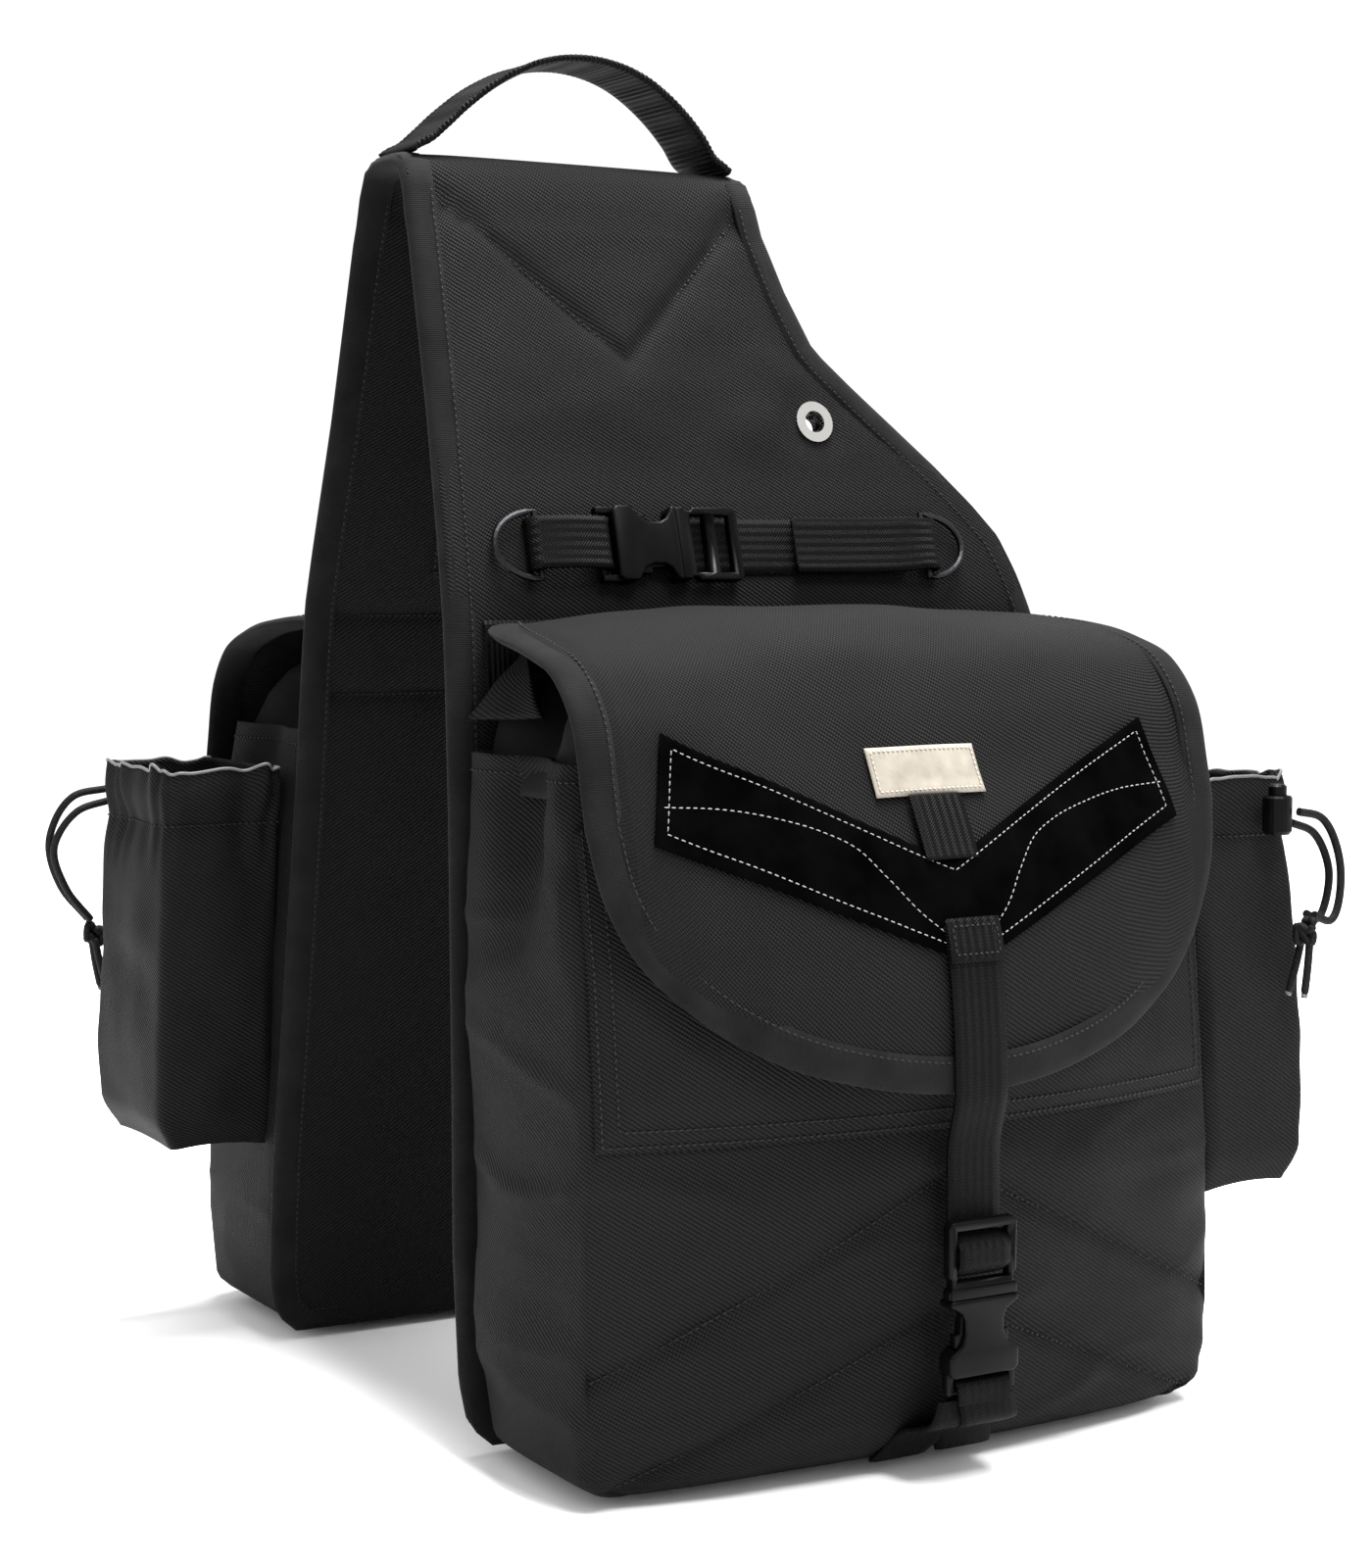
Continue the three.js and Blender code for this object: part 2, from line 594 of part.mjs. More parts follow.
// Tape folded over the flap's edge, open towards the flap.
function addFlapBinding(parent, end) {
  const edge = flapEdge();
  const face = FLAP_THICK / 2 + TAPE_SLACK;
  const outer = face + BINDING_THICK;
  const web = BINDING_THICK;
  const w = BINDING_WIDTH;
  const section = [[0, -outer], [w, -outer], [w, -face], [web, -face], [web, face], [w, face], [w, outer],
    [0, outer]];
  const rings = edge.map(({ at, x, t }, i) => {
    const before = edge[Math.max(i - 1, 0)].at;
    const after = edge[Math.min(i + 1, edge.length - 1)].at;
    const along = after.clone().sub(before).normalize();
    const low = new THREE.Vector3(...flapPoint(x, t, 0));
    const normal = new THREE.Vector3(...flapPoint(x, t, 1)).sub(low).normalize();
    const inward = flapInner(x, t, new THREE.Vector3().crossVectors(normal, along)).sub(at).normalize();
    const place = ([a, b]) => at.clone().addScaledVector(inward, a).addScaledVector(normal, b).toArray();
    return section.map(place);
  });
  addMesh(parent, end + "_flap_binding", taperedBack(ringSolid(rings)), BLACK);
}

const chevronTop = (x) => lerp(CHEVRON.notch, CHEVRON.endTop[1], Math.abs(x) / CHEVRON.endTop[0]);
const chevronBottom = (x) => lerp(CHEVRON.point, CHEVRON.endBottom[1], Math.abs(x) / CHEVRON.endBottom[0]);

// Trim on the flap: suede chevron, leather label and the webbing tab between them.
function addFlapTrim(parent, end) {
  const lift = FLAP_THICK + TRIM_LIFT;
  const { endTop, endBottom, thick } = CHEVRON;
  const slant = (x) => Math.max(0, (Math.abs(x) - endTop[0]) / (endBottom[0] - endTop[0]));
  const top = (x) => lerp(chevronTop(x), endBottom[1] + 1, Math.min(1, slant(x)));
  const chevron = onFlap(-endBottom[0], endBottom[0], 28, 3, chevronBottom, top, lift, thick);
  addMesh(parent, end + "_chevron", chevron, SUEDE);
  addMesh(parent, end + "_label", onFlap(-26, 26, 6, 2, () => 268, () => 287, lift, 1.4), LEATHER);
  const tab = onFlap(-WEB / 2, WEB / 2, 4, 2, (x) => chevronTop(x) + 0.6, () => 267.4, lift, 1.2);
  addMesh(parent, end + "_label_tab", tab, WEBBING);
}

// ---------- closure ----------

const CLOSURE = { top: 219, mouth: 75, straight: 140, strapEnd: 80, out: 3.3 };
const BUCKLE_Y = -233.5; // back of the closure buckle

// Strap sewn down the flap, hanging free below its hem to the buckle.
function addClosureStrap(parent, end) {
  const points = [];
  const hem = 156;
  for (let i = 0; i <= 6; i++) {
    const z = lerp(CLOSURE.top, hem, i / 6);
    points.push(flapPoint(0, flapShare(0, z), FLAP_THICK + CLOSURE.out));
  }
  const [, y] = points[points.length - 1];
  const flat = BUCKLE_Y + 0.2;
  points.push([0, lerp(y, flat, 0.5), 149], [0, flat, CLOSURE.straight], [0, flat, CLOSURE.strapEnd]);
  const section = [[-WEB / 2, -0.8], [WEB / 2, -0.8], [WEB / 2, 0.8], [-WEB / 2, 0.8]];
  const path = points.map((p) => new THREE.Vector3(...p).add(new THREE.Vector3(0, -0.8, 0)));
  addMesh(parent, end + "_closure_strap", swept(path, () => new THREE.Vector3(1, 0, 0), section), WEBBING);
}

function addClosureBuckle(parent, end) {
  const upright = (geometry) => geometry.rotateY(-Math.PI / 2).translate(0, BUCKLE_Y, CLOSURE.mouth);
  addMesh(parent, end + "_closure_socket", upright(buckleSocket()), PLASTIC);
  addMesh(parent, end + "_closure_clip", upright(buckleClip().translate(0.4, 0, 0)), PLASTIC);
}

// Webbing through the socket's bar, spread to two legs that run down to the bag's bottom seam.
function addLowerStrap(parent, end) {
  const barZ = CLOSURE.mouth - BUCKLE.shell - 7 + BUCKLE.bar / 2;
  const barY = BUCKLE_Y - 4.1;
  const inner = BUCKLE.bar / 2 + 0.9;
  const outer = inner + WEB_THICK;
  const arc = (r, from, to) => [0, 1, 2, 3, 4, 5, 6].map((i) => {
    const a = lerp(from, to, i / 6);
    return [barY + r * Math.cos(a), barZ + r * Math.sin(a)];
  });
  const hairpin = [...arc(outer, 0, Math.PI), [barY - outer, barZ - 8], [barY - inner, barZ - 8],
    ...arc(inner, Math.PI, 0), [barY + inner, barZ - 8], [barY + outer, barZ - 8]];
  const loop = extruded(hairpin, WEB).rotateY(Math.PI / 2).rotateX(Math.PI / 2);
  loop.translate(-WEB / 2, 0, 0);
  const legTop = barZ - 6;
  const legs = [-1, 1].map((s) => {
    const half = WEB / 2 - 0.5;
    const row = (z, x, y) => {
      const face = y - WEB_THICK;
      return [[x - half, y, z], [x + half, y, z], [x + half, face, z], [x - half, face, z]];
    };
    return ringSolid([row(3, s * 26, -203), row(12, s * 20, -214), row(legTop, s * 2, barY + inner + 0.6)]);
  });
  const web = block(-12, 12, barY - outer, barY + outer, legTop - 2.5, legTop + 0.5);
  addMesh(parent, end + "_lower_strap", joined(loop, web, ...legs), WEBBING);
}

// ---------- bottle pocket with its drawcord ----------

function bottleRing(z, grow) {
  const { x0, x1, y0, y1 } = BOTTLE;
  const taper = z < BOTTLE.bottom + 12 ? 8 * (1 - (z - BOTTLE.bottom) / 12) : 0;
  const out = x1 + grow - taper;
  const r = 14;
  const ring = [[x0 - Math.min(grow, 0), y0 + grow - taper * 0.4]];
  for (let i = 0; i <= 4; i++) {
    const a = Math.PI / 2 - (Math.PI / 2) * (i / 4);
    ring.push([out - r + r * Math.cos(a), y0 + grow - r + r * Math.sin(a) - taper * 0.4]);
  }
  for (let i = 0; i <= 4; i++) {
    const a = -(Math.PI / 2) * (i / 4);
    ring.push([out - r + r * Math.cos(a), y1 - grow + r + r * Math.sin(a) + taper * 0.4]);
  }
  ring.push([x0 - Math.min(grow, 0), y1 - grow + taper * 0.4]);
  return ring.map(([x, y]) => [x, panelY(z) + y, z]);
}

function addBottlePocket(parent, end) {
  const { bottom, hem, top, wall } = BOTTLE;
  const outer = [bottom, bottom + 12, 170, hem].map((z) => bottleRing(z, 0));
  const inner = [hem, 170, bottom + 12, bottom + 4].map((z) => bottleRing(z, -wall));
  addMesh(parent, end + "_bottle_pocket", ringSolid([...outer, ...inner]), BLACK);
  const hemOuter = [hem + GAP, 256, top].map((z) => bottleRing(z, 0));
  const hemInner = [top, 256, hem + GAP].map((z) => bottleRing(z, -wall - 1.4));
  addMesh(parent, end + "_pocket_hem", ringSolid([...hemOuter, ...hemInner], true), BLACK);
}

function addCordLock(parent, end) {
  const { x, y, z, radius, height, button } = LOCK;
  const barrel = [[0, 0], [radius - 1, 0], [radius, 1.5], [radius, height - 1], [radius - 0.8, height],
    [button + 0.4, height], [button + 0.4, height - 9], [0, height - 9]];
  const plunger = [[0, height - 5.6], [button, height - 5.6], [button, height + 4], [button - 1, height + 5],
    [0, height + 5]];
  const turned = (profile) => {
    const lathe = new THREE.LatheGeometry(profile.map(([r, h]) => new THREE.Vector2(r, h)), 20);
    return lathe.rotateX(Math.PI / 2).translate(x, y, z);
  };
  addMesh(parent, end + "_cord_lock", turned(barrel), PLASTIC);
  addMesh(parent, end + "_cord_lock_button", turned(plunger), PLASTIC);
}

function cordTube(points, steps) {
  const curve = new THREE.CatmullRomCurve3(points.map((p) => new THREE.Vector3(...p)), false, "centripetal");
  const section = new THREE.Shape(circle(CORD / 2, 8).map(([x, y]) => new THREE.Vector2(x, y)));
  return new THREE.ExtrudeGeometry(section, { steps, extrudePath: curve });
}

// How each drawcord hangs from its lock: outward swing of the loop and where the knot lies, from the lock.
const FRONT_CORD = { swing: 24, knot: [7, -12, -42] };
const REAR_CORD = { swing: 32, knot: [10, -22, -62] };

function addDrawcord(parent, end, hang) {
  const { x, y, z, radius } = LOCK;
  const [kx, ky, kz] = hang.knot;
  const knot = [x + kx, y + ky, z + kz];
  const side = radius + GAP + 0.8;
  ["a", "b"].forEach((strand, i) => {
    const s = i ? -1 : 1;
    const points = [[x + side * 0.94, y - side * 0.34 - s * 2.2 - 1, z + 10 - i * 5.2],
      [x + side + hang.swing * 0.5, y - 4 - s * 2.4, z + 7 - i * 7],
      [x + side + hang.swing * 0.8, y + ky * 0.4 - 3 - s * 3.6, z - 14 - i * 3],
      [x + kx + hang.swing * 0.5, y + ky * 0.8 - s * 3.8, z - 38],
      [knot[0] + 2, knot[1] - s * 2.4, knot[2] + 7.4]];
    addMesh(parent, end + "_cord_strand_" + strand, cordTube(points, 18), BLACK);
  });
  const ball = new THREE.SphereGeometry(6, 12, 8).scale(1, 0.9, 0.95).translate(...knot);
  const tails = [-1, 1].map((s) => cordTube([[knot[0], knot[1] + s * 2.4, knot[2] - 2],
    [knot[0] - 2, knot[1] + s * 3.6, knot[2] - 14], [knot[0] - 5, knot[1] + s * 5, knot[2] - 28]], 6));
  addMesh(parent, end + "_cord_knot", joined(ball, ...tails), BLACK);
}

// ---------- assembly ----------

function addBag(end, hang) {
  const bag = new THREE.Group();
  if (end === "rear") bag.rotation.z = Math.PI;
  part.add(bag);
  addBagShell(bag, end);
  addCollar(bag, end);
  addPatchPocket(bag, end);
  addFlap(bag, end);
  addFlapBinding(bag, end);
  addFlapTrim(bag, end);
  addClosureStrap(bag, end);
  addClosureBuckle(bag, end);
  addLowerStrap(bag, end);
  addBottlePocket(bag, end);
  addCordLock(bag, end);
  addDrawcord(bag, end, hang);
}

function addYokeHalf(end) {
  const half = new THREE.Group();
  if (end === "rear") half.scale.y = -1;
  part.add(half);
  addYokePanel(half, end);
  addYokeBinding(half, end);
  addYokeBand(half, end);
  addEyelet(half, end);
}

function addStrapHalf(end) {
  const half = new THREE.Group();
  if (end === "rear") half.rotation.z = Math.PI;
  part.add(half);
  addYokeStrap(half, end);
}

addRidge();
addHandle();
for (const end of ["front", "rear"]) {
  addYokeHalf(end);
  addStrapHalf(end);
  addBag(end, end === "front" ? FRONT_CORD : REAR_CORD);
}

export default part;
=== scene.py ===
import math

import bpy
import mathutils
import numpy as np
from mathutils import Matrix, Vector


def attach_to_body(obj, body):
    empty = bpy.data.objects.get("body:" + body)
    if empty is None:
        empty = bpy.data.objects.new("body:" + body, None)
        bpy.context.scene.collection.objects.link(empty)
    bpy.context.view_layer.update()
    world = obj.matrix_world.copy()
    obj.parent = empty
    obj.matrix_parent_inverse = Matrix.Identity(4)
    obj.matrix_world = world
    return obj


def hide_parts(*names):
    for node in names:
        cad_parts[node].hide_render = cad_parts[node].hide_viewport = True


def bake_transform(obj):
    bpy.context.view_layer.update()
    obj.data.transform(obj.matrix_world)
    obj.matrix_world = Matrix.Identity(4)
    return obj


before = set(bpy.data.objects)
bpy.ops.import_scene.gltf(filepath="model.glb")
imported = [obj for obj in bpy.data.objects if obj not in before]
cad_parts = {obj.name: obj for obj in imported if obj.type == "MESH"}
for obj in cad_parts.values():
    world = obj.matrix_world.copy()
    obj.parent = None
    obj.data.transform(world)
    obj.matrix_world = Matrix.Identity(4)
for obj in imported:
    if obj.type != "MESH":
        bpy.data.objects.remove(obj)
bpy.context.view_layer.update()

# Shapes are worked out in millimetres in the front half's place. The rear half is turned or mirrored.
MM = 0.001
HALVES = ("front", "rear")
SIDES = ((-1, "left"), (1, "right"))
WEB, WIDE_WEB = 25.0, 36.0
RIB_PITCH = 2.5
TAPE_THICK = 1.0

# ---------- yoke and bag sizes, as in the CAD ----------

RIDGE_Z, RIDGE_Y = 534.0, 22.0
KNEE_Z = 342.0
UPPER_SLOPE, LOWER_SLOPE = 0.28, 0.09
KNEE_Y = RIDGE_Y + UPPER_SLOPE * (RIDGE_Z - KNEE_Z)
TILT = math.atan(UPPER_SLOPE)
PANEL_THICK = 7.0
UP_PANEL = np.array([0, math.sin(TILT), math.cos(TILT)])

STRAIGHT_EDGE = np.array([(3, -146), (12, -156), (30, -159), (80, -159), (150, -156), (260, -152),
                          (345, -150), (425, -146), (506, -144), (536, -143)], float)
FLARED_EDGE = np.array([(3, 146), (12, 156), (30, 159), (80, 159), (150, 156), (260, 153), (318, 150),
                        (340, 146), (358, 140), (374, 133), (388, 121), (405, 104), (423, 84), (439, 66),
                        (457, 47), (483, 36), (506, 29), (536, 25)], float)

# Height, half width, depth at the edge and depth in the middle.
BAG_LEVELS = np.array([(0, 146, 86, 94), (10, 152, 91, 103), (45, 155, 95, 113), (100, 155, 98, 122),
                       (157, 155, 99, 127), (204, 154, 99, 125), (241, 152, 97, 115),
                       (286, 147, 93, 99)], float)
BAG_TOP = 286.0
BAG_BACK = 2.2
BAG_CORNER = 12.0

FLAP_MIDDLE = np.array([(-80, 334), (-95, 339), (-120, 341), (-145, 337), (-165, 324), (-180, 303),
                        (-194, 277), (-214, 241), (-228, 204), (-233, 150), (-234, 120)], float)
FLAP_SIDE = np.array([(-80, 331), (-95, 333), (-120, 331), (-145, 326), (-167, 318), (-181, 303),
                      (-189, 277), (-196, 241), (-198, 204), (-199, 150), (-199, 120)], float)
FLAP_HALF = 151.0
FLAP_BACK_Y = -80.0
FLAP_BACK_TAPER = 0.13
TAPER_DEPTH = 52.0
FLAP_THICK = 4.0
FLAP_HEM = np.array([(0, 157), (50, 163), (85, 174), (112, 190), (133, 211), (146, 236), (151, 262)], float)

LOCK = Vector((196, -188, 244))
LOCK_RADIUS = 6.5
CORD = 3.6
FRONT_CORD = {"swing": 24, "knot": (7, -12, -42)}
REAR_CORD = {"swing": 32, "knot": (10, -22, -62)}


# ---------- camera, floor and light ----------

CAMERA_DOWN, CAMERA_LEFT = 4.5, 30.5
FLOOR_SIZE, FLOOR_Z = 80, -2.2


def make_camera():
    """The photo's camera, fitted to its straight seams."""
    data = bpy.data.cameras.new("camera")
    data.sensor_width = 36
    data.lens = 66.8
    data.clip_start = 0.01
    camera = bpy.data.objects.new("camera", data)
    camera.location = (-0.672, -1.151, 0.366)
    camera.rotation_euler = (math.radians(90 - CAMERA_DOWN), 0, math.radians(-CAMERA_LEFT))
    bpy.context.collection.objects.link(camera)
    bpy.context.scene.camera = camera


def add_light(name, place, target, size, power):
    data = bpy.data.lights.new(name, "AREA")
    data.shape = "RECTANGLE"
    data.size, data.size_y = size
    data.energy = power
    light = bpy.data.objects.new(name, data)
    light.location = place
    light.rotation_euler = (Vector(target) - Vector(place)).to_track_quat("-Z", "Y").to_euler()
    bpy.context.collection.objects.link(light)


def make_studio():
    scene = bpy.context.scene
    scene.view_settings.view_transform = "Standard"
    world = bpy.data.worlds.new("studio")
    scene.world = world
    world.use_nodes = True
    background = world.node_tree.nodes["Background"]
    background.inputs["Color"].default_value = (1, 1, 1, 1)
    background.inputs["Strength"].default_value = 1.06
    add_light("key", (0.1, -1.5, 2.4), (0, 0, 0.3), (0.8, 0.8), 62)
    add_light("fill", (1.9, -1.5, 0.9), (0, 0, 0.2), (1.2, 1.6), 3)
    add_light("top", (0.2, 0.0, 2.3), (0, 0, 0.3), (1.0, 0.8), 170)
    add_light("rim", (-1.9, 0.9, 0.9), (0, 0, 0.25), (0.8, 1.4), 2)
    bpy.ops.mesh.primitive_plane_add(size=FLOOR_SIZE, location=(0, 0, FLOOR_Z * MM))
    floor = bpy.context.object
    floor.name = "floor"
    floor.data.materials.append(new_material("floor_paint", (0.98, 0.98, 0.98), 0.9))


# ---------- materials ----------

# Turn of the UV map that makes a wave's bands follow each other along a strap.
ALONG = math.radians(90)


def new_material(name, color, roughness, metallic=0.0, sheen=0.0, specular=0.5):
    material = bpy.data.materials.new(name)
    material.use_nodes = True
    shader = shader_of(material)
    shader.inputs["Base Color"].default_value = (*color, 1)
    shader.inputs["Roughness"].default_value = roughness
    shader.inputs["Metallic"].default_value = metallic
    shader.inputs["Sheen Weight"].default_value = sheen
    shader.inputs["Sheen Roughness"].default_value = 0.45
    shader.inputs["Specular IOR Level"].default_value = specular
    return material


def add_node(material, kind, **values):
    """New node, with its inputs and settings by name."""
    node = material.node_tree.nodes.new(kind)
    for key, value in values.items():
        if key in node.inputs:
            node.inputs[key].default_value = value
        else:
            setattr(node, key, value)
    return node


def link(material, a, b):
    material.node_tree.links.new(a, b)


def shader_of(material):
    return material.node_tree.nodes["Principled BSDF"]


def weighted_sum(material, a, share_a, b, share_b):
    return combine(material, combine(material, a, share_a, "MULTIPLY"),
                   combine(material, b, share_b, "MULTIPLY"), "ADD")


def mapped(material, source, rotation=0.0, scale=(1, 1, 1)):
    """Coordinates from the UV map, in millimetres, or from the object, turned and scaled."""
    coords = add_node(material, "ShaderNodeTexCoord")
    mapping = add_node(material, "ShaderNodeMapping")
    mapping.inputs["Rotation"].default_value[2] = rotation
    mapping.inputs["Scale"].default_value = scale
    link(material, coords.outputs[source], mapping.inputs["Vector"])
    return mapping.outputs["Vector"]


def wave(material, vector, period, distortion=0.0):
    """Smooth bands that repeat each period along X of the vector."""
    node = add_node(material, "ShaderNodeTexWave", wave_profile="SIN", Scale=math.pi / 10 / period,
                    Distortion=distortion, Detail=1.0)
    link(material, vector, node.inputs["Vector"])
    return node.outputs["Fac"]


def combine(material, a, b, operation):
    node = add_node(material, "ShaderNodeMath", operation=operation)
    for value, socket in ((a, node.inputs[0]), (b, node.inputs[1])):
        if isinstance(value, (int, float)):
            socket.default_value = value
        else:
            link(material, value, socket)
    return node.outputs[0]


def noise(material, scale, detail=3.0):
    node = add_node(material, "ShaderNodeTexNoise", Scale=scale, Detail=detail)
    link(material, mapped(material, "Object"), node.inputs["Vector"])
    return node.outputs["Fac"]


def color_between(material, factor, dark, light, low=0.0, high=1.0):
    ramp = add_node(material, "ShaderNodeValToRGB")
    for element, position, color in zip(ramp.color_ramp.elements, (low, high), (dark, light)):
        element.position = position
        element.color = (*color, 1)
    link(material, factor, ramp.inputs["Fac"])
    link(material, ramp.outputs["Color"], shader_of(material).inputs["Base Color"])


def roughness_between(material, factor, low, high):
    spread = add_node(material, "ShaderNodeMapRange")
    spread.inputs["To Min"].default_value = low
    spread.inputs["To Max"].default_value = high
    link(material, factor, spread.inputs["Value"])
    link(material, spread.outputs["Result"], shader_of(material).inputs["Roughness"])


def bump(material, height, depth_mm, strength=1.0):
    node = add_node(material, "ShaderNodeBump", Distance=depth_mm * MM, Strength=strength)
    link(material, height, node.inputs["Height"])
    link(material, node.outputs["Normal"], shader_of(material).inputs["Normal"])


def twill_material():
    """Matt polyester canvas with a fine diagonal weave, its valleys painted darker as shade."""
    material = new_material("twill_polyester", (0.010, 0.010, 0.0105), 0.7, specular=0.06)
    diagonal = wave(material, mapped(material, "UV", math.radians(-56)), 1.6, 0.6)
    cross = wave(material, mapped(material, "UV", math.radians(34)), 1.1, 0.6)
    weave = weighted_sum(material, diagonal, 0.65, cross, 0.35)
    cloudy = noise(material, 9.0, 4.0)
    # Painted shade: the colour darkens in the weave's valleys, where the bump sinks; the cloudy noise is the
    # cloth's own uneven tone.
    shade = weighted_sum(material, weave, 0.75, cloudy, 0.35)
    color_between(material, shade, (0.0003, 0.0003, 0.0003), (0.0094, 0.0094, 0.0097), 0.3, 0.85)
    roughness_between(material, cloudy, 0.58, 0.74)
    bump(material, weave, 0.42)
    return material


def lining_material():
    """Smooth inner cloth, a little finer and duller than the outside."""
    material = new_material("lining_cloth", (0.003, 0.003, 0.0032), 0.8, specular=0.08)
    warp = wave(material, mapped(material, "UV"), 0.7)
    weft = wave(material, mapped(material, "UV", ALONG), 0.7)
    weave = combine(material, warp, weft, "MULTIPLY")
    color_between(material, noise(material, 14.0), (0.002, 0.002, 0.0021), (0.0045, 0.0045, 0.0047), 0.3, 0.7)
    bump(material, weave, 0.1, 0.6)
    return material


def tape_material():
    """Brushed binding tape with short fuzz."""
    material = new_material("binding_tape", (0.004, 0.004, 0.0042), 0.85, sheen=0.02, specular=0.08)
    fuzz = noise(material, 1900.0, 5.0)
    ribs = wave(material, mapped(material, "UV", ALONG), 0.9, 1.5)
    shade = noise(material, 60.0)
    color_between(material, shade, (0.0028, 0.0028, 0.0029), (0.0065, 0.0065, 0.0067), 0.3, 0.75)
    bump(material, combine(material, fuzz, ribs, "ADD"), 0.14, 0.7)
    return material


def webbing_material(name, herringbone):
    """Polypropylene webbing: ribs across the strap, or herringbone chevrons along it, with painted shade in
    their grooves.
    """
    material = new_material(name, (0.003, 0.003, 0.0031), 0.5, specular=0.05)
    if herringbone:
        coords = add_node(material, "ShaderNodeTexCoord")
        split = add_node(material, "ShaderNodeSeparateXYZ")
        link(material, coords.outputs["UV"], split.inputs[0])
        zigzag = combine(material, split.outputs["X"], 1.9, "PINGPONG")
        along = combine(material, split.outputs["Y"], zigzag, "ADD")
        joined = add_node(material, "ShaderNodeCombineXYZ")
        link(material, along, joined.inputs[0])
        weave = wave(material, joined.outputs[0], 1.35)
    else:
        across = wave(material, mapped(material, "UV", ALONG), RIB_PITCH)
        fine = wave(material, mapped(material, "UV"), 1.3)
        weave = combine(material, across, combine(material, fine, 0.35, "MULTIPLY"), "ADD")
    # Painted shade: in both weaves the colour darkens where the bump sinks, in the rib grooves and the
    # chevron valleys.
    color_between(material, weave, (0.0002, 0.0002, 0.0002), (0.0030, 0.0030, 0.0031), 0.15, 0.95)
    roughness_between(material, noise(material, 30.0), 0.45, 0.68)
    bump(material, weave, 0.3, 0.9)
    return material


def suede_material():
    material = new_material("black_suede", (0.0008, 0.0008, 0.0008), 0.95, specular=0.0)
    nap = noise(material, 900.0, 6.0)
    shade = noise(material, 45.0, 5.0)
    color_between(material, shade, (0.0005, 0.0005, 0.0005), (0.0016, 0.0016, 0.0016), 0.3, 0.75)
    bump(material, nap, 0.12, 0.6)
    return material


def leather_material():
    material = new_material("label_leather", (0.25, 0.22, 0.185), 0.55, specular=0.2)
    grain = add_node(material, "ShaderNodeTexVoronoi", feature="DISTANCE_TO_EDGE", Scale=1400)
    link(material, mapped(material, "Object"), grain.inputs["Vector"])
    color_between(material, noise(material, 120.0, 5.0), (0.17, 0.152, 0.126), (0.25, 0.226, 0.19), 0.3, 0.7)
    bump(material, grain.outputs["Distance"], 0.05, 0.4)
    return material


def moulded_material():
    """Fine-textured black acetal, with wear that makes it a little glossier in places."""
    material = new_material("moulded_black", (0.003, 0.003, 0.0031), 0.42, specular=0.06)
    wear = noise(material, 55.0, 4.0)
    color_between(material, wear, (0.0006, 0.0006, 0.0006), (0.0016, 0.0016, 0.0017), 0.35, 0.7)
    roughness_between(material, wear, 0.3, 0.46)
    bump(material, noise(material, 2600.0, 2.0), 0.03, 0.5)
    return material


def metal_material(name, color, roughness):
    material = new_material(name, color, roughness, metallic=1.0)
    marks = noise(material, 260.0, 5.0)
    roughness_between(material, marks, roughness - 0.08, roughness + 0.12)
    bump(material, marks, 0.02, 0.4)
    return material


def braid_material():
    """Round braided cord, with strands as long cells and painted shade between them."""
    material = new_material("braided_cord", (0.003, 0.003, 0.003), 0.7, specular=0.12)
    strands = add_node(material, "ShaderNodeTexVoronoi", feature="F1", Scale=1100)
    link(material, mapped(material, "Object", scale=(1, 1, 0.45)), strands.inputs["Vector"])
    depth = strands.outputs["Distance"]
    # Painted shade: the colour darkens towards each cell's edge, where the bump sinks between strands.
    color_between(material, depth, (0.006, 0.006, 0.0062), (0.0012, 0.0012, 0.0012), 0.1, 0.7)
    bump(material, depth, -0.2, 0.6)
    return material


def thread_material(name, color):
    material = new_material(name, color, 0.6, sheen=0.03, specular=0.2)
    bump(material, noise(material, 2200.0), 0.04, 0.5)
    return material


MATERIALS = {}


def make_materials():
    MATERIALS.update(
        twill=twill_material(), lining=lining_material(), tape=tape_material(),
        ribbed=webbing_material("ribbed_webbing", False),
        herring=webbing_material("herringbone_webbing", True),
        suede=suede_material(), leather=leather_material(), plastic=moulded_material(),
        gunmetal=metal_material("black_plating", (0.022, 0.022, 0.024), 0.32),
        nickel=metal_material("nickel_plating", (0.48, 0.47, 0.455), 0.2), braid=braid_material(),
        thread=thread_material("black_thread", (0.0035, 0.0035, 0.0037)),
        grey_thread=thread_material("grey_thread", (0.2, 0.2, 0.205)),
        beige_thread=thread_material("beige_thread", (0.40, 0.37, 0.32)),
        # Pale melted tips for the cord ends; the same pale paint is the painted highlight along the bottle
        # pocket's rim.
        coated=new_material("coated_edge", (0.07, 0.07, 0.073), 0.6),
    )


# ---------- places and shapes ----------

def panel_y(z):
    """Y of the front yoke panel's outer face at height z."""
    upper = -(RIDGE_Y + UPPER_SLOPE * (RIDGE_Z - z))
    lower = -(KNEE_Y + LOWER_SLOPE * (KNEE_Z - z))
    return np.where(z > KNEE_Z, upper, lower)


def fade(value, low, high):
    """0 below low, 1 above high, smooth between."""
    t = np.clip((value - low) / (high - low), 0, 1)
    return t * t * (3 - 2 * t)


def unit(vectors):
    """The same vectors with length 1."""
    return vectors / np.linalg.norm(vectors, axis=-1, keepdims=True)


def lengths(path):
    """Distance along a path at each of its points."""
    return np.concatenate([[0], np.cumsum(np.linalg.norm(np.diff(path, axis=0), axis=1))])


